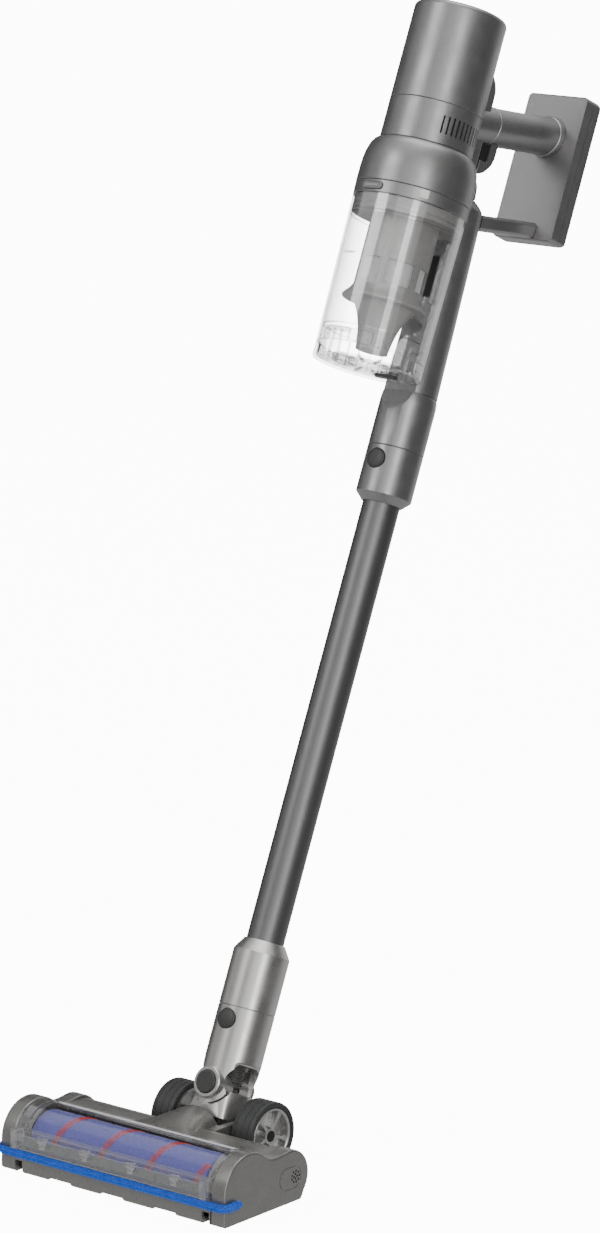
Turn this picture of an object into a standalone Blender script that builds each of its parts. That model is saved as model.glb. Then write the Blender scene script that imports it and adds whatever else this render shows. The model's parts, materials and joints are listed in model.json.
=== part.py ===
"""Cordless stick vacuum, built as separate named pieces.

World frame: metres, +X to the right, -Y towards the front of the floor head, +Z up, floor at z = 0.
The wand leans back. Everything above the floor head is drawn in the wand's own frame: x to the right,
u behind the wand, s up along the wand, with its origin on the swivel pin of the neck.
"""
import math

import bmesh
import bpy
from mathutils import Matrix

# Placing
LEAN = math.radians(23.8)           # the wand leans back by this much from upright
CENTRE_Y = 0.23645                  # middle of the whole object, from the middle of the head's own frame
PIVOT_Y = 0.065                     # swivel pin of the neck
PIVOT_Z = 0.0648
GAP = 0.0003                        # play between neighbouring pieces

# Fineness of round pieces
FINE = 28
MEDIUM = 20
COARSE = 12

# Handheld, in the wand's frame
MAIN_U = -0.0725                    # axis of the motor housing and of the dust bin
MAIN_R = 0.0435
MAIN_TOP = 1.002
MAIN_SEAM = 0.9085
SHOULDER_TOP = 0.8703
SHOULDER_R = 0.0540
BIN_TOP = 0.8247
RING_BOTTOM = 0.8130
CUP_TOP_R = 0.0533
CUP_BOTTOM_R = 0.0511
LID_TOP = 0.6740
LID_STEP_TOP = 0.6857
LID_BOTTOM = 0.6595
HINGE_U = -0.1255                   # lid hinge, at the front of the bin
HINGE_S = 0.6835
LID_SWEEP_R = 0.1100                # reach of the lid's far edge about its hinge, with play
VENT_LOW = 0.8800
VENT_HIGH = 0.8970
VENT_PITCH = math.radians(7)
VENT_FIRST = math.radians(51)
VENT_COUNT = 13

SPINE_R = 0.0230
SPINE_FRONT = -0.0175
SPINE_BOTTOM = 0.6563
SPINE_TOP = 0.8460
BLOCK_HALF = 0.0125
BLOCK_BACK = -0.0055                 # rear face of the block behind the motor
BLOCK_CORNER = 0.0050
STUB_END = 0.0070                    # the block's round stub ends here and the grip begins

SLAB_FRONT = 0.1012
SLAB_BACK = 0.1242
SLAB_HALF = 0.0344
SLAB_BOTTOM = 0.8385
SLAB_TOP = 0.9815
SLAB_WALL = 0.0019
SLAB_FRONT_CORNER = 0.0020
SLAB_BACK_CORNER = 0.0055
SLAB_SIDE_CORNER = 0.0050

GRIP_R = 0.0183
GRIP_RISE = math.radians(12.6)      # grip and strut rise towards the battery
GRIP_START = (0.0032, 0.9176)       # a point on the grip's axis (u, s)
STRUT_START = (0.0220, 0.8302)
STRUT_HALF = 0.0140
STRUT_THICK = 0.0150
TRIGGER_HALF = 0.0110
TRIGGER_FRONT = -0.0045              # front face of the trigger, next to the block
TRIGGER_PIN = (0.0140, 0.8975)       # its pivot (u, s)

# Wand and neck
COLLAR_R = 0.0263
TUBE_R = 0.0175
TUBE_BORE = 0.0162
NOZZLE_SEAM = 0.6026
NOZZLE_RIM = 0.5584
NOZZLE_CHAMFER = 0.5510
NECK_SEAM = 0.0721
COLLAR_RIM = 0.1246
COLLAR_CHAMFER = 0.1360
BUTTON_R = 0.0094
WAND_BUTTON_S = 0.5890
NECK_BUTTON_S = 0.0596
LUG_R = 0.0180
SLEEVE_BORE = 0.0177
LUG_ROOM_R = 0.0200                 # room that a lug sweeps in the yoke when the neck swivels
TONGUE_IN = 0.0175                  # flat inner face of each tongue, from the wand's axis
EAR_OUT = 0.0172                    # outer face of each yoke ear
PASSAGE_R = 0.0130                  # air passage through the yoke
PIN_IN = 0.0135                     # inner end of each swivel pin

# Floor head, in its own frame (y forward is negative)
HEAD_HALF = 0.1325
CAP_INNER = 0.1163
ROLLER_Y = -0.0594
ROLLER_Z = 0.0276
ROLLER_R = 0.0260
WINDOW_R = 0.0313
DECK_Z = 0.0465
AXLE_Y = 0.0590
AXLE_Z = 0.0315
WHEEL_R = 0.0315
WHEEL_IN = 0.0355
WHEEL_OUT = 0.0604
SOLE_FRONT = -0.0940
SOLE_BACK = 0.0120
MOTOR_Y = -0.0020
MOTOR_Z = 0.0250

SHIFT = Matrix.Translation((0.0, -CENTRE_Y, 0.0))
HEAD = SHIFT
WAND = SHIFT @ Matrix.Translation((0.0, PIVOT_Y, PIVOT_Z)) @ Matrix.Rotation(-LEAN, 4, "X")
ALONG_X = Matrix.Rotation(math.pi / 2, 4, "Y")      # local +Z points along +X
ALONG_BACK = Matrix.Rotation(-math.pi / 2, 4, "X")  # local +Z points backwards (+u or +y)


def at(frame, x, y, z):
    """A frame moved to a point given in that frame."""
    return frame @ Matrix.Translation((x, y, z))


def paint(name, colour, roughness, metallic=0.0, alpha=1.0):
    """A plain Principled material."""
    material = bpy.data.materials.new(name)
    material.use_nodes = True
    shader = material.node_tree.nodes["Principled BSDF"]
    shader.inputs["Base Color"].default_value = (*colour, 1.0)
    shader.inputs["Roughness"].default_value = roughness
    shader.inputs["Metallic"].default_value = metallic
    shader.inputs["Alpha"].default_value = alpha
    return material


def finish(name, bm, frame, material):
    """Turn a bmesh into a named object with smooth round sides and sharp edges."""
    bmesh.ops.recalc_face_normals(bm, faces=bm.faces)
    mesh = bpy.data.meshes.new(name)
    bm.to_mesh(mesh)
    bm.free()
    mesh.shade_smooth()
    mesh.set_sharp_from_angle(angle=math.radians(35))
    if material is not None:
        mesh.materials.append(material)
    obj = bpy.data.objects.new(name, mesh)
    bpy.context.scene.collection.objects.link(obj)
    obj.matrix_world = frame
    return obj


def lathe(name, profile, frame, material, steps=FINE):
    """Turn a closed outline of (radius, height) points about the frame's Z axis."""
    bm = bmesh.new()
    verts = [bm.verts.new((r, 0.0, z)) for r, z in profile]
    edges = []
    for a, b in zip(verts, verts[1:] + verts[:1]):
        if a.co.x > 1e-7 or b.co.x > 1e-7:
            edges.append(bm.edges.new((a, b)))
    bmesh.ops.spin(bm, geom=verts + edges, cent=(0, 0, 0), axis=(0, 0, 1),
                   angle=2 * math.pi, steps=steps, use_merge=True)
    bmesh.ops.remove_doubles(bm, verts=bm.verts, dist=1e-6)
    return finish(name, bm, frame, material)


def disc(name, radius, low, high, frame, material, steps=MEDIUM):
    """A plain cylinder between two heights."""
    return lathe(name, [(0, high), (radius, high), (radius, low), (0, low)], frame, material, steps)


def ring(name, outer, inner, low, high, frame, material, steps=MEDIUM):
    """A plain ring between two heights."""
    outline = [(inner, high), (outer, high), (outer, low), (inner, low)]
    return lathe(name, outline, frame, material, steps)


def prism(name, outline, low, high, frame, material, swap="xy"):
    """Extrude a closed outline. swap "xy" draws it in x, y and extrudes along z; "yz" draws it in
    y, z and extrudes along x; "xz" draws it in x, z and extrudes along y."""
    order = {"xy": (0, 1, 2), "yz": (1, 2, 0), "xz": (0, 2, 1)}[swap]
    bm = bmesh.new()
    verts = []
    for first, second in outline:
        point = [0.0, 0.0, 0.0]
        point[order[0]] = first
        point[order[1]] = second
        point[order[2]] = low
        verts.append(bm.verts.new(point))
    face = bm.faces.new(verts)
    step = [0.0, 0.0, 0.0]
    step[order[2]] = high - low
    side = bmesh.ops.extrude_face_region(bm, geom=[face])
    moved = [item for item in side["geom"] if isinstance(item, bmesh.types.BMVert)]
    bmesh.ops.translate(bm, verts=moved, vec=step)
    return finish(name, bm, frame, material)


def box(name, low, high, frame, material):
    """A plain block between two corners."""
    outline = [(low[0], low[1]), (high[0], low[1]), (high[0], high[1]), (low[0], high[1])]
    return prism(name, outline, low[2], high[2], frame, material)


def loft(name, sections, frame, material, closed=False):
    """Skin a row of sections that all have the same number of points; closed joins last to first."""
    bm = bmesh.new()
    rows = [[bm.verts.new(point) for point in section] for section in sections]
    count = len(rows[0])
    pairs = list(zip(rows, rows[1:]))
    if closed:
        pairs.append((rows[-1], rows[0]))
    for lower, upper in pairs:
        for i in range(count):
            j = (i + 1) % count
            bm.faces.new((lower[i], lower[j], upper[j], upper[i]))
    if not closed:
        bm.faces.new(rows[0])
        bm.faces.new(rows[-1])
    return finish(name, bm, frame, material)


def arc(cx, cy, radius, start, end, count):
    """Points on an arc, angles in degrees."""
    points = []
    for i in range(count + 1):
        angle = math.radians(start + (end - start) * i / count)
        points.append((cx + radius * math.cos(angle), cy + radius * math.sin(angle)))
    return points


def rounded(x0, y0, x1, y1, radius, count=3):
    """A rectangle with round corners."""
    return (arc(x1 - radius, y1 - radius, radius, 0, 90, count)
            + arc(x0 + radius, y1 - radius, radius, 90, 180, count)
            + arc(x0 + radius, y0 + radius, radius, 180, 270, count)
            + arc(x1 - radius, y0 + radius, radius, 270, 360, count))


def combine(target, others, operation):
    """Boolean with hidden helpers, which the model leaves out."""
    for other in others:
        other.hide_render = True
        other.display_type = "WIRE"
        modifier = target.modifiers.new(other.name, "BOOLEAN")
        modifier.operation = operation
        modifier.object = other
    return target


def cut(target, *cutters):
    return combine(target, cutters, "DIFFERENCE")


def fuse(target, *pieces):
    return combine(target, pieces, "UNION")


def joined(name, frame, pieces):
    """Put several separate helpers into one helper object, drawn in the given frame."""
    bm = bmesh.new()
    inverse = frame.inverted()
    for piece in pieces:
        part = bmesh.new()
        part.from_mesh(piece.data)
        part.transform(inverse @ piece.matrix_world)
        temporary = bpy.data.meshes.new("part")
        part.to_mesh(temporary)
        part.free()
        bm.from_mesh(temporary)
        bpy.data.meshes.remove(temporary)
        bpy.data.objects.remove(piece)
    return finish(name, bm, frame, None)


def main_frame():
    return at(WAND, 0, MAIN_U, 0)


def radial_frame(angle):
    """Main axis frame turned so that local -Y points at an angle from the front, positive to the right."""
    return main_frame() @ Matrix.Rotation(angle, 4, "Z")


def motor_section(m):
    """Motor housing, its vents, the shoulder over the bin, and what they hold."""
    main = main_frame()
    wall = 0.0025
    inner = MAIN_R - wall
    cover = [(MAIN_R, MAIN_SEAM + GAP), (MAIN_R, 0.9960), (0.0427, 0.9990), (0.0405, 1.0012),
             (0.0375, MAIN_TOP), (0.0340, MAIN_TOP), (0.0340, 0.9996), (0.0375, 0.9996),
             (inner, 0.9960), (inner, MAIN_SEAM + GAP)]
    lathe("motor_cover", cover, main, m["shell"])

    housing = ring("vent_housing", MAIN_R, inner, SHOULDER_TOP + GAP / 2, MAIN_SEAM, main, m["shell"])
    slots = []
    for side in (1, -1):
        for i in range(VENT_COUNT):
            frame = radial_frame(side * (VENT_FIRST + i * VENT_PITCH))
            slots.append(box("slot", (-0.0009, -0.050, VENT_LOW), (0.0009, -0.036, VENT_HIGH), frame, None))
    cut(housing, joined("vent_slots", main, slots))

    shoulder = [(MAIN_R, SHOULDER_TOP - GAP / 2), (0.0468, 0.8683), (0.0498, 0.8640), (0.0520, 0.8575),
                (0.0533, 0.8500), (0.0539, 0.8400), (SHOULDER_R, BIN_TOP + GAP),
                (0.0514, BIN_TOP + GAP), (0.0512, 0.8450), (0.0480, 0.8600), (inner, 0.8665),
                (inner, SHOULDER_TOP - GAP / 2)]
    lathe("shoulder_housing", shoulder, main, m["shell"])

    button_place = at(main, 0, 0.014, 0)
    screen = disc("top_screen", 0.0336, 0.9975, 1.0010, main, m["screen"])
    cut(screen, disc("screen_hole", 0.0085, 0.99, 1.01, button_place, None, COARSE))
    disc("power_button", 0.0081, 0.9985, 1.0022, button_place, m["button"], COARSE)

    flange = 0.0406
    motor = [(0, 0.9150), (0.0240, 0.9150), (0.0270, 0.9120), (0.0270, 0.8790), (flange, 0.8790),
             (flange, 0.8760), (0.0270, 0.8760), (0.0270, 0.8640), (0.0030, 0.8640), (0.0030, 0.8900),
             (0, 0.8900)]
    lathe("fan_motor", motor, main, m["steel"], MEDIUM)

    wheel = [(0, 0.8880), (0.0025, 0.8880), (0.0025, 0.8620), (0.0080, 0.8600), (0.0360, 0.8480),
             (0.0360, 0.8460), (0, 0.8460)]
    impeller = lathe("impeller", wheel, main, m["metal"], MEDIUM)
    blades = []
    for i in range(9):
        frame = main @ Matrix.Rotation(2 * math.pi * i / 9, 4, "Z")
        blades.append(box("blade", (0.010, -0.0006, 0.8470), (0.035, 0.0006, 0.8570), frame, None))
    fuse(impeller, joined("impeller_blades", main, blades))

    ring("post_filter", 0.0385, 0.0250, 0.9300, 0.9850, main, m["filter"])


def grip_frame():
    """Frame on the grip's axis, with local Z along its rise."""
    return at(WAND, 0, *GRIP_START) @ Matrix.Rotation(GRIP_RISE, 4, "X") @ ALONG_BACK


def grip_ring(radius, plane):
    """Points where a round bar along the grip's rise meets a plane across the handle."""
    points = []
    for i in range(MEDIUM):
        angle = 2 * math.pi * i / MEDIUM
        side = radius * math.cos(angle)
        up = radius * math.sin(angle)
        along = (plane - GRIP_START[0] + up * math.sin(GRIP_RISE)) / math.cos(GRIP_RISE)
        height = GRIP_START[1] + along * math.sin(GRIP_RISE) + up * math.cos(GRIP_RISE)
        points.append((side, plane, height))
    return points


def rear_block(m):
    """Block behind the motor, with a hollow round stub that carries the grip."""
    levels = [(0.8463, 0.0150, 0.0025), (0.8600, 0.0140, 0.0012), (0.8690, BLOCK_HALF, BLOCK_BACK),
              (0.9440, BLOCK_HALF, BLOCK_BACK), (0.9560, 0.0122, -0.0100), (0.9630, 0.0112, -0.0170),
              (0.9660, 0.0095, -0.0250)]
    sections = [[(x, u, s) for x, u in rounded(-half, -0.0500, half, back, BLOCK_CORNER)]
                for s, half, back in levels]
    block = loft("rear_block", sections, WAND, m["shell"])
    stub = loft("stub", [grip_ring(GRIP_R, -0.0450), grip_ring(GRIP_R, STUB_END)], WAND, None)
    clearance = lathe("housing_clearance",
                      [(0, 1.0), (MAIN_R + GAP, 1.0), (MAIN_R + GAP, SHOULDER_TOP), (0.0472, 0.8685),
                       (0.0502, 0.8640), (0.0524, 0.8575), (0.0537, 0.8500), (0.0544, 0.8400), (0.0544, 0.83),
                       (0, 0.83)], main_frame(), None)
    bore = loft("stub_bore", [grip_ring(GRIP_R - 0.003, -0.0220), grip_ring(GRIP_R - 0.003, STUB_END + 0.005)],
                WAND, None)
    fuse(block, stub)
    cut(block, clearance, bore)


def trigger(m):
    """Rounded lobe under the grip, with a finger recess in each flank."""
    outline = [(TRIGGER_FRONT, 0.9080), (TRIGGER_FRONT, 0.8712), (-0.0030, 0.8705), (0.0008, 0.8716),
               (0.0060, 0.8744), (0.0093, 0.8774), (0.0130, 0.8813), (0.0151, 0.8844), (0.0169, 0.8903),
               (0.0174, 0.8970), (0.0172, 0.9080)]
    pivot = at(WAND, 0, *TRIGGER_PIN)
    moved = [(u - TRIGGER_PIN[0], s - TRIGGER_PIN[1]) for u, s in outline]
    lobe = prism("trigger", moved, -TRIGGER_HALF, TRIGGER_HALF, pivot, m["shell"], "yz")
    far = 0.03
    recesses = [box("recess", (low, -0.010, 0.8838), (high, 0.0068, 0.8950), WAND, None)
                for low, high in ((-far, -0.0040), (0.0040, far))]
    cut(lobe, disc("grip_room", GRIP_R + 0.0008, -far, far, grip_frame(), None, FINE), *recesses)


def handle(m):
    """Round grip and lower strut."""
    start = STUB_END + GAP
    end = SLAB_FRONT - GAP
    bore = GRIP_R - 0.003
    loft("handle_grip", [grip_ring(GRIP_R, start), grip_ring(GRIP_R, end), grip_ring(bore, end),
                         grip_ring(bore, start)], WAND, m["shell"], closed=True)

    rise = math.tan(GRIP_RISE)
    half = STRUT_THICK / 2 / math.cos(GRIP_RISE)
    sections = []
    for u in (0.010, end):
        height = STRUT_START[1] + (u - STRUT_START[0]) * rise
        sections.append([(x, u, s) for x, s in rounded(-STRUT_HALF, height - half, STRUT_HALF,
                                                       height + half, 0.004, 2)])
    strut = loft("lower_strut", sections, WAND, m["shell"])
    cut(strut, disc("strut_clearance", SPINE_R + GAP, 0.75, 0.90, WAND, None, FINE))


def slab_outline(inset):
    """Side view of the battery: tight corners in front, wide ones behind."""
    tight = max(SLAB_FRONT_CORNER - inset, 0.0005)
    wide = SLAB_BACK_CORNER - inset
    front, back = SLAB_FRONT + inset, SLAB_BACK - inset
    low, high = SLAB_BOTTOM + inset, SLAB_TOP - inset
    return (arc(back - wide, high - wide, wide, 0, 90, 3) + arc(front + tight, high - tight, tight, 90, 180, 2)
            + arc(front + tight, low + tight, tight, 180, 270, 2) + arc(back - wide, low + wide, wide, 270, 360, 3))


def battery(m):
    """Two shells, six cells and the cell board."""
    middle = (SLAB_FRONT + SLAB_BACK) / 2
    far = 0.05
    for name, low, high in (("battery_front", middle, SLAB_BACK + far),
                            ("battery_back", SLAB_FRONT - far, middle + GAP)):
        shell = prism(name, slab_outline(0), -SLAB_HALF, SLAB_HALF, WAND, m["shell"], "yz")
        inside = prism(name + "_inside", slab_outline(SLAB_WALL), SLAB_WALL - SLAB_HALF,
                       SLAB_HALF - SLAB_WALL, WAND, None, "yz")
        other_half = box(name + "_half", (-far, low, 0.80), (far, high, 1.02), WAND, None)
        cut(shell, inside, other_half)
        face = prism(name + "_face", rounded(-SLAB_HALF, SLAB_BOTTOM, SLAB_HALF, SLAB_TOP, SLAB_SIDE_CORNER),
                     SLAB_FRONT - far, SLAB_BACK + far, WAND, None, "xz")
        combine(shell, [face], "INTERSECT")
    number = 0
    for row in (0.8425, 0.9085):
        for x in (-0.0222, -0.0034, 0.0154):
            number += 1
            disc(f"cell_{number}", 0.0091, row, row + 0.065, at(WAND, x, middle, 0), m["cell"], COARSE)
    box("battery_board", (0.0262, middle - 0.007, 0.850), (0.0278, middle + 0.007, 0.970), WAND, m["board"])


def duct_outline(radius, front):
    """Round duct with a flat front."""
    half = math.degrees(math.acos(min(1.0, -front / radius)))
    return arc(0, 0, radius, -90 + half, 270 - half, MEDIUM)


def spine(m):
    """Air duct behind the bin, from the wand's nozzle up to the inlet."""
    duct = prism("spine_duct", duct_outline(SPINE_R, SPINE_FRONT), SPINE_BOTTOM, SPINE_TOP, WAND, m["shell"])
    hollow = prism("duct_hollow", duct_outline(SPINE_R - 0.0025, SPINE_FRONT + 0.0025), SPINE_BOTTOM - 0.01,
                   0.8100, WAND, None)
    inlet = box("duct_inlet", (-0.0105, -0.030, 0.7450), (0.0105, -0.0100, 0.7850), WAND, None)
    taper = lathe("duct_taper", [(0.0235, 0.8370), (0.0500, 0.8370), (0.0500, 0.8500), (0.0130, 0.8500),
                                 (0.0130, 0.8462), (0.0190, 0.8425)], WAND, None)
    cut(duct, hollow, inlet, taper)
    profile = [(COLLAR_R, 0.6520), (COLLAR_R, NOZZLE_SEAM + GAP), (0.0223, NOZZLE_SEAM + GAP), (0.0223, 0.6285),
               (0.0200, 0.6285), (0.0200, SPINE_BOTTOM - GAP), (0.0225, SPINE_BOTTOM - GAP)]
    nozzle = lathe("nozzle_collar", profile, WAND, m["shell"])
    hinge = at(WAND, 0, HINGE_U, HINGE_S) @ ALONG_X
    cut(nozzle, disc("lid_sweep", LID_SWEEP_R, -0.06, 0.06, hinge, None, 72))


def bin_parts(m):
    """Clear dust bin with its ring, button, cyclone, screen, lid and latch."""
    main = main_frame()
    ring_profile = [(0.0539, BIN_TOP), (0.0535, RING_BOTTOM + GAP), (0.0500, RING_BOTTOM + GAP),
                    (0.0500, BIN_TOP)]
    band = lathe("bin_ring", ring_profile, main, m["shell"])
    middle = (BIN_TOP + RING_BOTTOM) / 2
    press = radial_frame(math.radians(-6)) @ Matrix.Translation((0, -SHOULDER_R, middle))
    capsule = rounded(-0.0115, -0.0033, 0.0115, 0.0033, 0.0032)
    hole = rounded(-0.0120, -0.0038, 0.0120, 0.0038, 0.0037)
    cut(band, prism("button_hole", hole, -0.01, 0.01, press, None, "xz"))
    prism("bin_button", capsule, -0.0008, 0.0034, press, m["shell"], "xz")

    cup_profile = [(CUP_TOP_R, RING_BOTTOM), (CUP_BOTTOM_R, LID_TOP + GAP), (CUP_BOTTOM_R - 0.0018, LID_TOP + GAP),
                   (CUP_TOP_R - 0.0018, RING_BOTTOM)]
    cup = lathe("bin_cup", cup_profile, main, m["clear"])
    notch = prism("cup_notch", [(-0.0300, LID_BOTTOM), (0.0300, LID_BOTTOM), (0.0300, LID_STEP_TOP + GAP),
                                (-0.0300, LID_STEP_TOP + GAP)], -0.060, -0.030, main, None, "xz")
    rear_hole = box("cup_inlet", (-0.0105, 0.035, 0.7450), (0.0105, 0.060, 0.7850), main, None)
    cut(cup, notch, rear_hole)

    shroud = [(0, 0.6765), (0.0150, 0.6765), (0.0165, 0.6900), (0.0210, 0.7050), (0.0285, 0.7190),
              (0.0392, 0.7205), (0.0398, 0.7222), (0.0320, 0.7335), (0.0320, 0.7985), (0.0510, 0.7994),
              (0.0512, RING_BOTTOM - GAP), (0.0440, RING_BOTTOM - GAP), (0.0400, 0.8020), (0.0296, 0.8005),
              (0.0296, 0.7300), (0.0260, 0.7215), (0.0190, 0.7060), (0.0145, 0.6905), (0.0130, 0.6790),
              (0, 0.6790)]
    cyclone = lathe("cyclone_shroud", shroud, main, m["shell"])
    windows = []
    for i in range(6):
        frame = radial_frame(math.radians(50 + 60 * i))
        windows.append(box("window", (-0.0125, -0.040, 0.7370), (0.0125, -0.022, 0.7590), frame, None))
    cut(cyclone, joined("shroud_windows", main, windows))
    ring("shroud_mesh", 0.0290, 0.0282, 0.7320, 0.7650, main, m["mesh"])

    hinge = at(WAND, 0, HINGE_U, HINGE_S)
    back_to_main = at(hinge, 0, MAIN_U - HINGE_U, -HINGE_S)
    floor = 0.0025
    lid_profile = [(0, LID_BOTTOM), (0.0500, LID_BOTTOM), (CUP_BOTTOM_R, LID_BOTTOM + 0.0012),
                   (CUP_BOTTOM_R, LID_TOP), (CUP_BOTTOM_R - 0.0025, LID_TOP),
                   (CUP_BOTTOM_R - 0.0025, LID_BOTTOM + floor), (0, LID_BOTTOM + floor)]
    lid = lathe("bin_lid", lid_profile, back_to_main, m["clear"])
    step = ring("lid_step", CUP_BOTTOM_R - 0.0002, CUP_BOTTOM_R - 0.0040, LID_TOP - 0.005, LID_STEP_TOP,
                back_to_main, None, FINE)
    trim = box("step_trim", (-0.0297, -0.070, 0.60), (0.0297, -0.030, 0.75), back_to_main, None)
    combine(step, [trim], "INTERSECT")
    barrel = prism("lid_barrel", arc(0, 0, 0.0026, 0, 330, 11), -0.012, 0.012, hinge, None, "yz")
    fuse(lid, step, barrel)
    latch = at(back_to_main, 0.016, 0.010, 0)
    prism("lid_latch", rounded(-0.012, -0.005, 0.012, 0.005, 0.0045), LID_BOTTOM - 0.0030, LID_BOTTOM - GAP,
          latch, m["button"])


def button_pocket(name, s):
    """Helper that makes room for a round button at the front of a collar."""
    return disc(name, BUTTON_R + 0.0004, -0.035, -0.0208, at(WAND, 0, 0, s) @ ALONG_BACK, None)


def round_button(name, s, m):
    """Slightly domed round button that presses towards the wand's axis."""
    frame = at(WAND, 0, -0.0240, s) @ ALONG_BACK
    profile = [(0, -0.0040), (0.0060, -0.0037), (BUTTON_R, -0.0026), (BUTTON_R, -0.0002), (0, -0.0002)]
    lathe(name, profile, frame, m["button"], MEDIUM)


def wand(m):
    """Tube with a collar at each end; each collar takes a spigot or a socket."""
    top = [(COLLAR_R, NOZZLE_SEAM), (COLLAR_R, NOZZLE_RIM), (0.0190, NOZZLE_CHAMFER), (0.0178, NOZZLE_CHAMFER),
           (0.0178, 0.5760), (TUBE_BORE, 0.5760), (TUBE_BORE, 0.6280), (0.0220, 0.6280), (0.0220, NOZZLE_SEAM)]
    collar = lathe("wand_top_collar", top, WAND, m["shell"])
    cut(collar, button_pocket("wand_button_pocket", WAND_BUTTON_S))
    round_button("wand_button", WAND_BUTTON_S, m)
    ring("wand_tube", TUBE_R, TUBE_BORE, 0.1035, 0.5757, WAND, m["tube"])
    bottom = [(0.0190, COLLAR_CHAMFER), (COLLAR_R, COLLAR_RIM), (COLLAR_R, NECK_SEAM + GAP),
              (0.0223, NECK_SEAM + GAP), (0.0223, 0.0985), (TUBE_BORE, 0.0985), (TUBE_BORE, 0.1030),
              (0.0178, 0.1030), (0.0178, COLLAR_CHAMFER)]
    lathe("wand_bottom_collar", bottom, WAND, m["satin"])


def tongue_outline():
    """What is cut off the sleeve's lower end to leave a round-ended tongue front and back."""
    far = 0.040
    top = 0.0240
    lower = arc(0, 0, LUG_R, 180, 360, 10)
    return ([(-far, top), (-0.0200, top), (-LUG_R, top - 0.004)] + lower
            + [(LUG_R, top - 0.004), (0.0200, top), (far, top), (far, -far), (-far, -far)])


def neck(m):
    """Sleeve under the wand, its button, the swivel pin, the air hose and the yoke."""
    sleeve_profile = [(COLLAR_R, NECK_SEAM), (COLLAR_R, -0.0200), (SLEEVE_BORE, -0.0200), (SLEEVE_BORE, 0.0980),
                      (0.0220, 0.0980), (0.0220, NECK_SEAM)]
    sleeve = lathe("neck_sleeve", sleeve_profile, WAND, m["satin"])
    boss = disc("pin_boss", 0.0145, -0.0305, -0.0190, WAND @ ALONG_BACK, None)
    rear_boss = disc("rear_boss", 0.0110, 0.0190, 0.0290, WAND @ ALONG_BACK, None)
    bore = disc("pin_bore", 0.0053, -0.040, 0.0400, WAND @ ALONG_BACK, None)
    head_pocket = disc("pin_head_pocket", 0.0112, -0.040, -0.0285, WAND @ ALONG_BACK, None)
    tongue_gap = box("tongue_gap", (-0.030, -TONGUE_IN, -0.030), (0.030, TONGUE_IN, 0.0220), WAND, None)
    cut(sleeve, tongue_gap, prism("sleeve_trim", tongue_outline(), -0.05, 0.05, WAND, None, "xz"),
        button_pocket("neck_button_pocket", NECK_BUTTON_S))
    fuse(sleeve, boss, rear_boss)
    cut(sleeve, bore, head_pocket)
    round_button("neck_button", NECK_BUTTON_S, m)
    pin = [(0, -0.0322), (0.0095, -0.0322), (0.0109, -0.0312), (0.0109, -0.0288), (0.0050, -0.0288),
           (0.0050, -PIN_IN), (0, -PIN_IN)]
    lathe("pivot_pin_front", pin, WAND @ ALONG_BACK, m["button"], MEDIUM)
    disc("pivot_pin_rear", 0.0050, PIN_IN, 0.0285, WAND @ ALONG_BACK, m["steel"])


def yoke(m):
    """Swivel yoke: ears on the pin, a skirt that turns square, and a barrel on the wheel axle."""
    base = 0.0240
    count = MEDIUM

    def skirt(scale, half, s):
        """A closed ring between a circle (half 0) and a rounded square (half 1)."""
        points = []
        for i in range(count):
            angle = 2 * math.pi * (i + 0.5) / count
            c, d = math.cos(angle), math.sin(angle)
            reach = (abs(c) ** 5 + abs(d) ** 5) ** (-1 / 5)
            radius = scale * (1 - half) + scale * reach * half
            points.append((radius * c, radius * d, s))
        return points

    outer = [skirt(0.0255, 0.0, -0.004), skirt(0.0252, 0.35, -0.016), skirt(base, 1.0, -0.0290)]
    inner = [skirt(0.0170, 1.0, -0.0290), skirt(0.0170, 0.3, -0.016), skirt(0.0170, 0.0, -0.004)]
    body = loft("neck_yoke", outer + inner, WAND, m["satin"], closed=True)
    barrel_frame = at(HEAD, 0, AXLE_Y, AXLE_Z) @ ALONG_X
    barrel = disc("yoke_barrel", 0.0180, -0.0215, 0.0215, barrel_frame, None)
    web = loft("yoke_web", [skirt(0.0180, 0.8, -0.0192), skirt(0.0180, 1.0, -0.0250)], WAND, None)
    across = WAND @ ALONG_BACK
    front_room = disc("front_lug_room", LUG_ROOM_R, -0.05, -EAR_OUT - GAP / 2, across, None, FINE)
    rear_room = disc("rear_lug_room", LUG_ROOM_R, EAR_OUT + GAP / 2, 0.05, across, None, FINE)
    ear = arc(0, 0, 0.0120, 0, 180, 8) + [(-0.0120, -0.0240), (0.0120, -0.0240)]
    ears = prism("yoke_ears", ear, -EAR_OUT, EAR_OUT, WAND, None, "xz")
    passage = disc("yoke_passage", PASSAGE_R, -0.0500, 0.0300, WAND, None)
    pin_bore = disc("yoke_pin_bore", 0.0053, -0.040, 0.0400, across, None)
    axle_bore = disc("yoke_axle_bore", 0.0034, -0.04, 0.04, barrel_frame, None, COARSE)
    fuse(body, web, barrel, ears)
    cut(body, front_room, rear_room, passage, pin_bore, axle_bore)

    ribs = []
    for i in range(9):
        s = -0.0060 + 0.0050 * i
        ribs += [(0.0126, s), (0.0108, s + 0.0025)]
    ribs.append((0.0126, 0.0390))
    hose = ribs + [(0.0092, 0.0390), (0.0092, -0.0060)]
    lathe("neck_hose", hose, WAND, m["rubber"], COARSE)


def cap_outline():
    """Side view of the floor head: big front lobe over the roller, lower rear lobe, flat bottom."""
    front = arc(ROLLER_Y, ROLLER_Z, 0.0340, 182, 52, 9)
    rear = arc(-0.0030, MOTOR_Z, 0.0248, 96, -40, 8)
    return [(-0.0930, 0.0010), (-0.0940, 0.0120)] + front + [(-0.0300, 0.0490), (-0.0200, 0.0485)] + rear + [
        (0.0120, 0.0010)]


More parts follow.
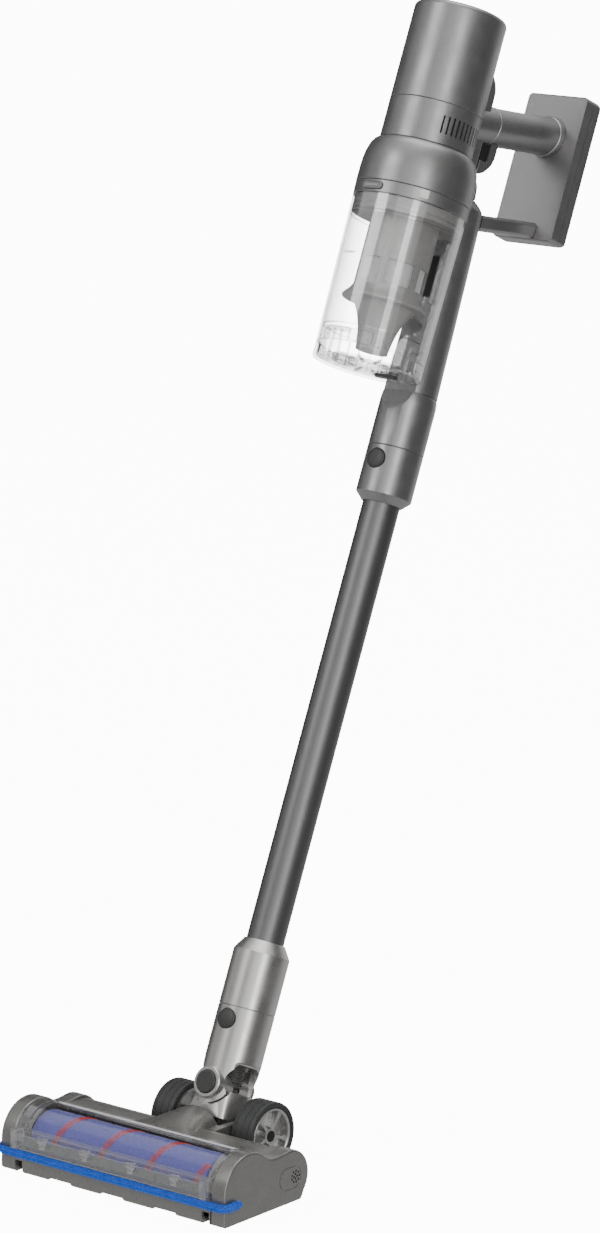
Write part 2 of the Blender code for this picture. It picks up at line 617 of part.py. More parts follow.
def head_shell(m):
    """Upper shell: deck with its rear lobe, chamber wall, cheeks for the wheels and the neck duct."""
    half = CAP_INNER - GAP
    outer = [(-0.0335, 0.0500), (-0.0240, DECK_Z + 0.001)] + arc(-0.0030, MOTOR_Z - 0.0015, 0.0235, 96, -28, 8)
    inner = [(0.0150, 0.0130)] + arc(-0.0030, MOTOR_Z - 0.0015, 0.0210, -20, 96, 7) + [
        (-0.0240, DECK_Z - 0.0015), (-0.0300, 0.0460)]
    wall = [(-0.0295, 0.0052), (-0.0320, 0.0052), (-0.0320, 0.0440), (-0.0345, 0.0470)]
    shell = prism("head_shell", outer + [(0.0178, 0.0100), (0.0150, 0.0100)] + inner + wall, -half, half,
                  HEAD, m["head"], "yz")

    def section(y, width, low, edge, top):
        """Arched section of the neck duct."""
        arch = [(width * (1 - 2 * i / 8), y, edge + (top - edge) * math.sin(math.pi * i / 8))
                for i in range(9)]
        return [(width, y, low)] + arch + [(-width, y, low)]

    duct = loft("neck_duct", [section(-0.0310, 0.0440, 0.0420, 0.0440, 0.0490),
                              section(-0.0180, 0.0330, 0.0390, 0.0465, 0.0530),
                              section(-0.0030, 0.0265, 0.0300, 0.0490, 0.0560),
                              section(0.0120, 0.0240, 0.0180, 0.0500, 0.0575),
                              section(0.0290, 0.0230, 0.0100, 0.0505, 0.0575)], HEAD, None)
    bore = loft("duct_bore", [section(-0.0420, 0.0300, 0.0340, 0.0405, 0.0425),
                              section(-0.0100, 0.0240, 0.0250, 0.0440, 0.0500),
                              section(0.0400, 0.0190, 0.0200, 0.0420, 0.0520)], HEAD, None)
    cheeks = []
    for side in (1, -1):
        low, high = sorted((side * 0.0222, side * 0.0335))
        cheek = [(0.0100, 0.0100), (0.0100, 0.0440), (0.0300, 0.0440)] + arc(AXLE_Y, AXLE_Z, 0.0110, 90, -90, 6) + [
            (0.0300, 0.0120)]
        cheeks.append(prism("cheek", cheek, low, high, HEAD, None, "yz"))
    roller_room = disc("roller_room", 0.0285, -0.2, 0.2, at(HEAD, 0, ROLLER_Y, ROLLER_Z) @ ALONG_X, None)
    barrel_room = disc("barrel_room", 0.0200, -0.0220, 0.0220, at(HEAD, 0, AXLE_Y, AXLE_Z) @ ALONG_X, None)
    yoke_room = disc("yoke_room", 0.0352, -0.0262, 0.0262, at(HEAD, 0, AXLE_Y, AXLE_Z) @ ALONG_X, None)
    axle_room = disc("axle_room", 0.0033, -0.07, 0.07, at(HEAD, 0, AXLE_Y, AXLE_Z) @ ALONG_X, None, COARSE)
    belt_room = box("belt_room", (0.1035, -0.0360, 0.0060), (0.1130, -0.0180, 0.0430), HEAD, None)
    low_room = box("low_room", (-0.0262, 0.024, 0.0), (0.0262, 0.10, 0.0750), HEAD, None)
    fuse(shell, duct, *cheeks)
    cut(shell, bore, roller_room, barrel_room, axle_room, low_room, yoke_room, belt_room)


def sole(m):
    """Bottom plate with the roller's opening, a front lip with teeth and pockets for small rollers."""
    half = CAP_INNER - GAP
    outline = [(SOLE_FRONT, 0.0235), (SOLE_FRONT, 0.0030), (-0.0920, 0.0010), (SOLE_BACK, 0.0010),
               (0.0170, 0.0060), (0.0170, 0.0095), (0.0135, 0.0095), (0.0110, 0.0045), (-0.0880, 0.0045),
               (-0.0905, 0.0080), (-0.0905, 0.0235)]
    plate = prism("sole_plate", outline, -half, half, HEAD, m["head"], "yz")
    opening = box("sole_opening", (-0.1060, -0.0855, -0.01), (0.1060, -0.0345, 0.0120), HEAD, None)
    rooms = [box("pocket", (x - 0.0040, -0.0900, -0.01), (x + 0.0040, -0.0740, 0.0125), HEAD, None)
             for x in (-0.1105, 0.1105)]
    teeth = [box("tooth", (x - 0.0140, -0.1000, -0.01), (x + 0.0140, -0.0880, 0.0028), HEAD, None)
             for x in (-0.0620, 0.0, 0.0620)]
    cut(plate, opening, joined("sole_pockets", HEAD, rooms), joined("sole_teeth", HEAD, teeth))
    for name, x in (("front_roller_left", -0.1105), ("front_roller_right", 0.1105)):
        frame = at(HEAD, x, -0.0815, 0.0062) @ ALONG_X
        disc(name, 0.0062, -0.0028, 0.0028, frame, m["rubber"], COARSE)


def head_front(m):
    """Clear window, light lens, light strip and plush bumper."""
    half = CAP_INNER - GAP
    window = arc(ROLLER_Y, ROLLER_Z, WINDOW_R, 154, 47, 12)
    inside = arc(ROLLER_Y, ROLLER_Z, WINDOW_R - 0.0018, 47, 154, 12)
    prism("roller_window", window + inside, -half, half, HEAD, m["clear"], "yz")
    bar = [(-0.0975, 0.0250), (-0.0980, 0.0400), (-0.0888, 0.0405), (-0.0890, 0.0250)]
    lens = prism("lens_bar", bar, -half + 0.001, half - 0.001, HEAD, m["clear"], "yz")
    cut(lens, box("lens_slot", (-0.105, -0.0945, 0.0200), (0.105, -0.0915, 0.0360), HEAD, None))
    box("led_board", (-0.1040, -0.0938, 0.0262), (0.1040, -0.0922, 0.0350), HEAD, m["board"])

    front = -0.0972
    points = [(-HEAD_HALF - 0.0032, -0.0760), (-HEAD_HALF - 0.0032, front + 0.0045),
              (-HEAD_HALF - 0.0015, front + 0.0012), (-HEAD_HALF + 0.0020, front)]
    points += [(-x, y) for x, y in reversed(points)]
    curve = bpy.data.curves.new("bumper_strip", "CURVE")
    curve.dimensions = "3D"
    curve.bevel_depth = 0.0027
    curve.bevel_resolution = 2
    curve.use_fill_caps = True
    spline = curve.splines.new("POLY")
    spline.points.add(len(points) - 1)
    for target, (x, y) in zip(spline.points, points):
        target.co = (x, y, 0.0205, 1.0)
    curve.materials.append(m["plush"])
    strip = bpy.data.objects.new("bumper_strip", curve)
    bpy.context.scene.collection.objects.link(strip)
    strip.matrix_world = HEAD


def side_caps(m):
    """End caps that close the head and carry the roller."""
    for name, side in (("side_cap_left", -1), ("side_cap_right", 1)):
        low, high = sorted((side * CAP_INNER, side * HEAD_HALF))
        cap = prism(name, cap_outline(), low, high, HEAD, m["head"], "yz")
        bevel = cap.modifiers.new("edges", "BEVEL")
        bevel.width = 0.0015
        bevel.segments = 1
        bevel.limit_method = "ANGLE"
        bevel.angle_limit = math.radians(60)
        axis = at(HEAD, side * CAP_INNER, ROLLER_Y, ROLLER_Z) @ ALONG_X
        cut(cap, disc(name + "_bearing", 0.0062, -0.0060, 0.0060, axis, None, COARSE))


def roller(m):
    """Roller core with its stub shafts and pulley, in its soft pile sleeve."""
    axis = at(HEAD, 0, ROLLER_Y, ROLLER_Z) @ ALONG_X
    core = [(0, -0.1210), (0.0058, -0.1210), (0.0058, -0.1135), (0.0180, -0.1125), (0.0180, 0.1020),
            (0.0110, 0.1030), (0.0110, 0.1125), (0.0058, 0.1135), (0.0058, 0.1210), (0, 0.1210)]
    lathe("brush_core", core, axis, m["button"])
    ring("brush_pile", ROLLER_R, 0.0183, -0.1050, 0.1010, axis, m["pile"])
    motor = at(HEAD, 0, MOTOR_Y, MOTOR_Z) @ ALONG_X
    can = disc("brush_motor", 0.0150, 0.0420, 0.1000, motor, m["steel"])
    cut(can, disc("motor_shaft_room", 0.0024, 0.090, 0.110, motor, None, COARSE))
    pulley = [(0, 0.1125), (0.0055, 0.1125), (0.0055, 0.1035), (0.0020, 0.1030), (0.0020, 0.0930), (0, 0.0930)]
    lathe("motor_pulley", pulley, motor, m["metal"], COARSE)

    distance = MOTOR_Y - ROLLER_Y
    spread = math.degrees(math.asin((0.0114 - 0.0059) / distance))
    sections = []
    for grow, x in ((0, 0.1050), (0.0013, 0.1050), (0.0013, 0.1110), (0, 0.1110)):
        big = arc(ROLLER_Y, ROLLER_Z, 0.0114 + grow, 90 - spread, 270 + spread, 12)
        small = arc(MOTOR_Y, MOTOR_Z, 0.0059 + grow, -90 + spread, 90 - spread, 8)
        sections.append([(x, y, z) for y, z in big + small])
    loft("drive_belt", sections, HEAD, m["rubber"], closed=True)


def wheels(m):
    """Rear wheels on one axle: spoked hubs inside rubber tyres."""
    axis = at(HEAD, 0, AXLE_Y, AXLE_Z) @ ALONG_X
    disc("wheel_axle", 0.0030, -0.0560, 0.0560, axis, m["steel"], COARSE)
    for side, word in ((-1, "left"), (1, "right")):
        turn = axis if side == 1 else axis @ Matrix.Rotation(math.pi, 4, "X")
        middle = (WHEEL_IN + WHEEL_OUT) / 2
        ring("tyre_" + word, WHEEL_R, 0.0262, WHEEL_IN, WHEEL_OUT - 0.0006, turn, m["tyre"], FINE)
        hub_profile = [(0.0033, WHEEL_IN + 0.001), (0.0080, WHEEL_IN + 0.001), (0.0080, middle - 0.002),
                       (0.0232, middle - 0.002), (0.0232, WHEEL_IN + 0.001), (0.0259, WHEEL_IN + 0.001),
                       (0.0259, WHEEL_OUT - 0.0015), (0.0236, WHEEL_OUT - 0.0015), (0.0228, middle + 0.002),
                       (0.0075, middle + 0.002), (0.0068, WHEEL_OUT - 0.0030), (0.0033, WHEEL_OUT - 0.0030)]
        hub = lathe("wheel_" + word, hub_profile, turn, m["silver"])
        spokes = []
        for i in range(5):
            frame = turn @ Matrix.Rotation(2 * math.pi * i / 5, 4, "Z")
            spokes.append(box("spoke", (0.0065, -0.0016, middle), (0.0240, 0.0016, WHEEL_OUT - 0.0040),
                              frame, None))
        fuse(hub, joined("spokes_" + word, turn, spokes))


def palette():
    """The object's finishes."""
    return {
        "shell": paint("shell_grey", (0.28, 0.28, 0.28), 0.35, 0.6),
        "satin": paint("satin_grey", (0.36, 0.36, 0.35), 0.35, 0.8),
        "head": paint("head_grey", (0.26, 0.26, 0.25), 0.45, 0.4),
        "tube": paint("tube_grey", (0.30, 0.30, 0.31), 0.22, 0.9),
        "button": paint("dark_grey", (0.06, 0.06, 0.06), 0.5),
        "screen": paint("black_gloss", (0.02, 0.02, 0.02), 0.1),
        "steel": paint("steel", (0.55, 0.55, 0.55), 0.3, 1.0),
        "metal": paint("cast_metal", (0.6, 0.6, 0.6), 0.4, 1.0),
        "silver": paint("silver_plastic", (0.55, 0.55, 0.55), 0.3, 0.7),
        "filter": paint("filter_white", (0.85, 0.85, 0.82), 0.9),
        "cell": paint("cell_wrap", (0.05, 0.25, 0.10), 0.4),
        "board": paint("circuit_green", (0.02, 0.20, 0.08), 0.5),
        "clear": paint("clear_plastic", (0.85, 0.87, 0.88), 0.08, 0.0, 0.35),
        "mesh": paint("steel_mesh", (0.7, 0.7, 0.7), 0.35, 1.0),
        "rubber": paint("black_rubber", (0.03, 0.03, 0.03), 0.7),
        "tyre": paint("tyre_rubber", (0.04, 0.04, 0.04), 0.75),
        "pile": paint("blue_pile", (0.13, 0.14, 0.42), 0.95),
        "plush": paint("bright_plush", (0.0, 0.10, 0.80), 0.95),
    }


def main():
    for obj in list(bpy.data.objects):
        bpy.data.objects.remove(obj)
    materials = palette()
    for build in (motor_section, rear_block, trigger, handle, battery, spine, bin_parts, wand, neck, yoke,
                  head_shell, sole, head_front, side_caps, roller, wheels):
        build(materials)


main()
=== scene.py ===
"""Looks of the cordless stick vacuum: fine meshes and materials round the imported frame.

Metres, +X to the right, +Z up. Pieces above the floor head are drawn in the wand's own frame (x to the
right, u behind the wand, s up along it, from the neck's swivel pin); the rest in the head's own frame.
"""
import json
import math
import random

import bmesh
import bpy
from mathutils import Matrix, Vector


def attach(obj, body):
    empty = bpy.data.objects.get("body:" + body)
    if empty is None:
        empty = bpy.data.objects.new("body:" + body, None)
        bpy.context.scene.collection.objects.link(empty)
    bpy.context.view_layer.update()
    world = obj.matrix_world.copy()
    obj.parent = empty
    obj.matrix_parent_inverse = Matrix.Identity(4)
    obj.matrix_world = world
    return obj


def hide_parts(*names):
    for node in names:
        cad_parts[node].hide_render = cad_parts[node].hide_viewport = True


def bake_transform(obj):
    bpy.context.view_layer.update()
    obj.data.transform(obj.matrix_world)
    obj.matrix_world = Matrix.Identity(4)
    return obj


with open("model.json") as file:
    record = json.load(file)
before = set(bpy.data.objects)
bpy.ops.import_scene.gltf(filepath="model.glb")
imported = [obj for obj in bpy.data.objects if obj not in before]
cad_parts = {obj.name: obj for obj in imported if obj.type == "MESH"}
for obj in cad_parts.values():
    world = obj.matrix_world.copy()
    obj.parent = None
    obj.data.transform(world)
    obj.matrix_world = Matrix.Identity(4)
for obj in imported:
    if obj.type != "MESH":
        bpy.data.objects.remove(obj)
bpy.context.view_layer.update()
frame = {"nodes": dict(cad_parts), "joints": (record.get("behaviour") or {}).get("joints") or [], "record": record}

JOINTS = {joint["name"]: joint for joint in frame["joints"]}
BODY_OF = {node: body for body, nodes in frame["record"]["behaviour"]["bodies"].items() for node in nodes}
SLOT_OF = {row["node"]: row["material_slot"] for row in frame["record"]["subparts"]}

# Fineness
FINE = 144
MEDIUM = 72
COARSE = 32
SHARP = math.radians(32)           # edges that turn more than this stay sharp

# Handheld, in the wand's frame
MAIN_U = -0.0725
MAIN_R = 0.0435
MAIN_TOP = 1.002
MAIN_SEAM = 0.9085
SHOULDER_TOP = 0.8703
SHOULDER_R = 0.0540
BIN_TOP = 0.8247
RING_BOTTOM = 0.8130
CUP_TOP_R = 0.0533
CUP_BOTTOM_R = 0.0511
LID_BOTTOM = 0.6595
LID_TOP = 0.6740
LID_STEP_TOP = 0.6857
LID_FLOOR = 0.0025
HINGE_U = -0.1255
HINGE_S = 0.6835
LID_SWEEP_R = 0.1100
VENT_LOW = 0.8800
VENT_HIGH = 0.8970
VENT_PITCH = math.radians(7)
VENT_FIRST = math.radians(51)
VENT_COUNT = 13
GAP = 0.0003

SPINE_R = 0.0230
SPINE_FRONT = -0.0175
SPINE_BOTTOM = 0.6563
SPINE_TOP = 0.8460
BLOCK_HALF = 0.0125
BLOCK_BACK = -0.0055
BLOCK_CORNER = 0.0050
STUB_END = 0.0070
SLAB_FRONT = 0.1012
SLAB_BACK = 0.1242
SLAB_HALF = 0.0344
SLAB_BOTTOM = 0.8385
SLAB_TOP = 0.9815
SLAB_WALL = 0.0019
SLAB_FRONT_CORNER = 0.0020
SLAB_BACK_CORNER = 0.0055
SLAB_SIDE_CORNER = 0.0050
GRIP_R = 0.0183
GRIP_RISE = math.radians(12.6)
GRIP_START = (0.0032, 0.9176)
STRUT_START = (0.0220, 0.8302)
STRUT_HALF = 0.0140
STRUT_THICK = 0.0150
TRIGGER_HALF = 0.0110
TRIGGER_FRONT = -0.0045

# Wand and neck
COLLAR_R = 0.0263
TUBE_R = 0.0175
TUBE_BORE = 0.0162
NOZZLE_SEAM = 0.6026
NOZZLE_RIM = 0.5584
NOZZLE_CHAMFER = 0.5510
NECK_SEAM = 0.0721
COLLAR_RIM = 0.1246
COLLAR_CHAMFER = 0.1360
BUTTON_R = 0.0094
WAND_BUTTON_S = 0.5890
NECK_BUTTON_S = 0.0596
LUG_R = 0.0180
LUG_ROOM_R = 0.0200
SLEEVE_BORE = 0.0177
TONGUE_IN = 0.0175
EAR_OUT = 0.0172
PASSAGE_R = 0.0130
PIN_IN = 0.0135
HOSE_SPAN = (-0.0060, 0.0390)
HOSE_RIBS = 9

# Floor head, in its own frame
HEAD_HALF = 0.1325
CAP_INNER = 0.1163
ROLLER_Y = -0.0594
ROLLER_Z = 0.0276
PILE_R = 0.0253
WINDOW_R = 0.0313
DECK_Z = 0.0465
AXLE_Y = 0.0590
AXLE_Z = 0.0315
WHEEL_R = 0.0315
WHEEL_IN = 0.0355
WHEEL_OUT = 0.0604
SOLE_FRONT = -0.0940
SOLE_BACK = 0.0120
MOTOR_Z = 0.0250
STRIP_Z = 0.0205
STRIP_R = 0.0021
BRISTLE_PITCH = 0.0555                # the bristle row's advance along the roller in one turn
BRISTLE_PHASE = math.radians(247.5)
BRISTLE_X = 0.0373
BRISTLE_WIDTH = 0.0068

# Camera
CAMERA_PLACE = (2.8875, -3.5656, 1.4947)
CAMERA_TILT = math.radians(77.44)
CAMERA_TURN = math.radians(39.53)
CAMERA_LENS = 150

# Studio: reflection cards as (name, from, to, brightness), in degrees round the object from the camera
CARDS = (
    ("flag_left", -178, -120, 0.05),
    ("side_left", -112, -32, 0.42),
    ("front_card", -26, 26, 1.45),
    ("flag_right", 38, 118, 0.05),
    ("rim_right", 136, 168, 0.90),
)
CARD_R = 6.0
SWEEP_R = 30
SWEEP_GLOW = 12.0
DOME_GLOW = 13.0
CEILING = 1.5
WORLD_GLOW = 0.62
# Soft lights as (name, place, target, size, watts)
SOFTBOXES = (
    ("key", (-1.2, -2.6, 2.6), (0, 0, 0.6), (1.4, 2.0), 34),
    ("front", (2.6, -1.8, 1.6), (0, 0, 0.5), (0.7, 2.2), 26),
    ("top", (0.2, 0.6, 3.2), (0, 0, 0.4), (2.0, 2.0), 26),
)


def wand_frame():
    """The wand's frame: on the swivel pin, with its second axis along the pin."""
    back = Vector(JOINTS["neck_swivel"]["axis"]).normalized()
    right = Vector((1, 0, 0))
    up = right.cross(back)
    turn = Matrix((right, back, up)).transposed().to_4x4()
    return Matrix.Translation(JOINTS["neck_swivel"]["pos_m"]) @ turn


WAND = wand_frame()
HEAD = Matrix.Translation((0, JOINTS["neck_pitch"]["pos_m"][1] - AXLE_Y, 0))
ALONG_X = Matrix.Rotation(math.pi / 2, 4, "Y")
ALONG_BACK = Matrix.Rotation(-math.pi / 2, 4, "X")


def at(place, x, y, z):
    """A frame shifted by x, y, z along its own axes."""
    return place @ Matrix.Translation((x, y, z))


MAIN = at(WAND, 0, MAIN_U, 0)
ROLLER = at(HEAD, 0, ROLLER_Y, ROLLER_Z) @ ALONG_X
AXLE = at(HEAD, 0, AXLE_Y, AXLE_Z) @ ALONG_X


# ---------------------------------------------------------------- materials

class Surface:
    """A Principled material built up from noise layers in the piece's own coordinates."""

    def __init__(self, name, colour, roughness, metallic=0.0, coat=0.0, coat_roughness=0.1, sheen=0.0):
        self.material = bpy.data.materials.new(name)
        self.material.use_nodes = True
        self.tree = self.material.node_tree
        self.shader = self.tree.nodes["Principled BSDF"]
        self.shader.inputs["Base Color"].default_value = (*colour, 1)
        self.shader.inputs["Roughness"].default_value = roughness
        self.shader.inputs["Metallic"].default_value = metallic
        self.shader.inputs["Coat Weight"].default_value = coat
        self.shader.inputs["Coat Roughness"].default_value = coat_roughness
        self.shader.inputs["Sheen Weight"].default_value = sheen
        self.colour = colour
        self.place = self.tree.nodes.new("ShaderNodeTexCoord").outputs["Object"]

    def noise(self, scale, stretch=(1, 1, 1), detail=3.0):
        mapping = self.tree.nodes.new("ShaderNodeMapping")
        mapping.inputs["Scale"].default_value = stretch
        self.tree.links.new(self.place, mapping.inputs["Vector"])
        texture = self.tree.nodes.new("ShaderNodeTexNoise")
        texture.inputs["Scale"].default_value = scale
        texture.inputs["Detail"].default_value = detail
        self.tree.links.new(mapping.outputs["Vector"], texture.inputs["Vector"])
        return texture.outputs["Fac"]

    def spread(self, value, low, high):
        node = self.tree.nodes.new("ShaderNodeMapRange")
        node.inputs["From Min"].default_value = 0.3
        node.inputs["From Max"].default_value = 0.7
        node.inputs["To Min"].default_value = low
        node.inputs["To Max"].default_value = high
        self.tree.links.new(value, node.inputs["Value"])
        return node.outputs["Result"]

    def tint(self, value, darker, lighter):
        """Colour runs between two shades of the base colour."""
        ramp = self.tree.nodes.new("ShaderNodeValToRGB")
        ramp.color_ramp.elements[0].position = 0.3
        ramp.color_ramp.elements[1].position = 0.7
        ramp.color_ramp.elements[0].color = (*[c * darker for c in self.colour], 1)
        ramp.color_ramp.elements[1].color = (*[min(1, c * lighter) for c in self.colour], 1)
        self.tree.links.new(value, ramp.inputs["Fac"])
        self.tree.links.new(ramp.outputs["Color"], self.shader.inputs["Base Color"])
        return self

    def rough(self, value, low, high):
        self.tree.links.new(self.spread(value, low, high), self.shader.inputs["Roughness"])
        return self

    def bump(self, value, strength, distance):
        node = self.tree.nodes.new("ShaderNodeBump")
        node.inputs["Strength"].default_value = strength
        node.inputs["Distance"].default_value = distance
        self.tree.links.new(value, node.inputs["Height"])
        self.tree.links.new(node.outputs["Normal"], self.shader.inputs["Normal"])
        return self


def flake_paint(name, colour, roughness, metallic):
    """Metallic paint with fine flakes."""
    surface = Surface(name, colour, roughness, metallic, coat=0.15, coat_roughness=0.25)
    surface.tint(surface.noise(2600, detail=1), 0.86, 1.16)
    surface.rough(surface.noise(60), roughness - 0.04, roughness + 0.05)
    return surface.bump(surface.noise(2400, detail=1), 0.05, 0.00005).material


def brushed(name, colour, roughness, stretch):
    """Fine brushed lines, long across the stretch's small numbers."""
    surface = Surface(name, colour, roughness, 0.85)
    lines = surface.noise(45, stretch, 3)
    surface.tint(lines, 0.95, 1.05)
    surface.rough(lines, roughness - 0.03, roughness + 0.04)
    return surface.bump(surface.noise(90, stretch, 2), 0.015, 0.00003).material


def moulded(name, colour, roughness, grain=1500, strength=0.25, metallic=0.0, coat=0.0):
    """Moulded plastic or rubber with a spark-eroded grain."""
    surface = Surface(name, colour, roughness, metallic, coat)
    surface.tint(surface.noise(grain * 0.5, detail=2), 0.88, 1.14)
    surface.rough(surface.noise(70), roughness - 0.05, roughness + 0.06)
    return surface.bump(surface.noise(grain, detail=2), strength, 0.00008).material


def clear_plastic(name, colour, alpha, edge_alpha, roughness, metallic=1.0):
    """Clear plastic as a thin reflecting film: fainter face on and stronger towards the edges, with painted shade
    that darkens its colour towards the edges.
    """
    surface = Surface(name, colour, roughness, metallic)
    surface.rough(surface.noise(40), roughness, roughness + 0.03)
    surface.bump(surface.noise(25), 0.04, 0.0002)
    facing = surface.tree.nodes.new("ShaderNodeLayerWeight")
    facing.inputs["Blend"].default_value = 0.25
    curve = surface.tree.nodes.new("ShaderNodeMapRange")
    curve.inputs["To Min"].default_value = alpha
    curve.inputs["To Max"].default_value = edge_alpha
    surface.tree.links.new(facing.outputs["Facing"], curve.inputs["Value"])
    surface.tree.links.new(curve.outputs["Result"], surface.shader.inputs["Alpha"])
    # Painted shade: the base colour falls to 12 per cent at grazing angles, drawing dark outlines along the edges.
    outline = surface.tree.nodes.new("ShaderNodeValToRGB")
    outline.color_ramp.elements[0].position = 0.55
    outline.color_ramp.elements[1].position = 0.95
    outline.color_ramp.elements[0].color = (*colour, 1)
    outline.color_ramp.elements[1].color = (*[c * 0.12 for c in colour], 1)
    surface.tree.links.new(facing.outputs["Facing"], outline.inputs["Fac"])
    surface.tree.links.new(outline.outputs["Color"], surface.shader.inputs["Base Color"])
    return surface.material


def cloth_pile(name, colour, scale, lighter):
    """Short dense pile."""
    surface = Surface(name, colour, 0.95, sheen=0.35)
    surface.tint(surface.noise(scale, detail=4), 0.70, lighter)
    return surface.bump(surface.noise(scale * 1.5, detail=3), 0.6, 0.0005).material


ACROSS = (1, 1, 40)
PAINT = {
    "shell": flake_paint("shell_paint", (0.275, 0.270, 0.273), 0.36, 0.8),
    "satin": flake_paint("satin_paint", (0.50, 0.495, 0.48), 0.30, 0.85),
    "head": moulded("head_satin", (0.235, 0.232, 0.222), 0.30, 2200, 0.08, 0.65, 0.2),
    "tube": brushed("tube_anodised", (0.165, 0.165, 0.168), 0.42, (40, 40, 1)),
    "button": moulded("button_grain", (0.035, 0.036, 0.035), 0.42, 1800, 0.35),
    "screen": moulded("screen_gloss", (0.012, 0.012, 0.013), 0.08, 600, 0.02, 0.0, 1.0),
    "steel": brushed("turned_steel", (0.55, 0.55, 0.54), 0.28, ACROSS),
    "motor": brushed("motor_can", (0.45, 0.45, 0.44), 0.35, ACROSS),
    "metal": brushed("machined_alloy", (0.60, 0.60, 0.60), 0.32, ACROSS),
    "silver": moulded("silver_plastic", (0.42, 0.42, 0.41), 0.28, 900, 0.06, 0.7),
    "filter": cloth_pile("filter_fleece", (0.86, 0.86, 0.84), 900, 1.1),
    "cell": moulded("cell_wrap", (0.04, 0.22, 0.09), 0.35, 500, 0.05),
    "board": moulded("circuit_board", (0.03, 0.035, 0.035), 0.5, 900, 0.2),
    "clear": clear_plastic("clear_plastic", (0.92, 0.92, 0.93), 0.05, 0.80, 0.03),
    "mesh": moulded("woven_steel", (0.93, 0.93, 0.93), 0.35, 1500, 0.05, 0.2),
    "rubber": moulded("hose_rubber", (0.13, 0.13, 0.128), 0.24, 1200, 0.10, 0.4),
    "tyre": moulded("tyre_rubber", (0.030, 0.032, 0.031), 0.50, 1400, 0.35),
    "pile": cloth_pile("velvet_pile", (0.075, 0.078, 0.40), 700, 1.35),
    "plush": cloth_pile("blue_plush", (0.0, 0.11, 0.95), 900, 1.3),
}
WINDOW = clear_plastic("window_plastic", (0.90, 0.90, 0.92), 0.03, 0.40, 0.03)
FROSTED = clear_plastic("frosted_band", (0.80, 0.80, 0.78), 0.75, 0.95, 0.30, 0.2)
CLEAR_RIB = clear_plastic("clear_rib", (0.72, 0.72, 0.72), 0.16, 0.85, 0.05, 0.9)
PLUSH_TIP = cloth_pile("plush_tips", (0.01, 0.20, 1.0), 900, 1.3)
BRISTLE = cloth_pile("red_bristle", (0.80, 0.075, 0.055), 1500, 1.25)
# A lighter copy of the grey shell plastic for the cyclone shroud: painted light where the inside of the cup gets
# little light.
SHELL_PAINTED_LIGHT = moulded("shroud_painted_light", (0.40, 0.395, 0.39), 0.38, 1800, 0.10, 0.3)
# Near-black painted shade, put in hollows, holes and openings where shade falls.
PAINTED_SHADE = moulded("painted_shade_black", (0.006, 0.006, 0.006), 0.7, 900, 0.1)
DIODE = moulded("diode_lens", (0.10, 0.11, 0.12), 0.15, 600, 0.05, 0.0, 0.6)


# ---------------------------------------------------------------- mesh helpers

def finish(name, bm, place, material, edge=0.0, segments=2):
    """A named object with smooth round sides; a positive edge rounds its sharp edges."""
    bmesh.ops.recalc_face_normals(bm, faces=bm.faces)
    mesh = bpy.data.meshes.new(name)
    bm.to_mesh(mesh)
    bm.free()
    mesh.shade_smooth()
    mesh.set_sharp_from_angle(angle=SHARP)
    if material is not None:
        mesh.materials.append(material)
    obj = bpy.data.objects.new(name, mesh)
    bpy.context.scene.collection.objects.link(obj)
    obj.matrix_world = place
    if edge:
        soften(obj, edge, segments)
    return obj


def soften(obj, edge, segments=2):
    """Round the sharp edges."""
    bevel = obj.modifiers.new("rounded_edges", "BEVEL")
    bevel.width = edge
    bevel.segments = segments
    bevel.limit_method = "ANGLE"
    bevel.angle_limit = math.radians(40)
    bevel.harden_normals = True
    return obj


def lathe(name, profile, place, material=None, steps=FINE, edge=0.0):
    """Turn a closed outline of (radius, height) points about the frame's Z axis."""
    bm = bmesh.new()
    verts = [bm.verts.new((r, 0.0, z)) for r, z in profile]
    sides = zip(verts, verts[1:] + verts[:1])
    edges = [bm.edges.new((a, b)) for a, b in sides if a.co.x > 1e-7 or b.co.x > 1e-7]
    bmesh.ops.spin(bm, geom=verts + edges, cent=(0, 0, 0), axis=(0, 0, 1), angle=2 * math.pi, steps=steps,
                   use_merge=True)
    bmesh.ops.remove_doubles(bm, verts=bm.verts, dist=1e-6)
    return finish(name, bm, place, material, edge)


def disc(name, radius, low, high, place, material=None, steps=MEDIUM, edge=0.0):
    """A solid cylinder from low to high."""
    return lathe(name, [(0, high), (radius, high), (radius, low), (0, low)], place, material, steps, edge)


def ring(name, outer, inner, low, high, place, material=None, steps=MEDIUM, edge=0.0):
    """A tube from low to high."""
    return lathe(name, [(inner, high), (outer, high), (outer, low), (inner, low)], place, material, steps,
                 edge)


def prism(name, outline, low, high, place, material=None, plane="xy", edge=0.0, segments=2):
    """Extrude a closed outline: "xy" along z, "yz" along x, "xz" along y."""
    order = {"xy": (0, 1, 2), "yz": (1, 2, 0), "xz": (0, 2, 1)}[plane]
    bm = bmesh.new()
    rows = []
    for level in (low, high):
        row = []
        for first, second in outline:
            point = [0.0, 0.0, 0.0]
            point[order[0]] = first
            point[order[1]] = second
            point[order[2]] = level
            row.append(bm.verts.new(point))
        rows.append(row)
    bm.faces.new(rows[0])
    bm.faces.new(rows[1])
    for i in range(len(outline)):
        j = (i + 1) % len(outline)
        bm.faces.new((rows[0][i], rows[0][j], rows[1][j], rows[1][i]))
    return finish(name, bm, place, material, edge, segments)


def box(name, low, high, place, material=None, edge=0.0):
    """A box between two corners."""
    outline = [(low[0], low[1]), (high[0], low[1]), (high[0], high[1]), (low[0], high[1])]
    return prism(name, outline, low[2], high[2], place, material, edge=edge)


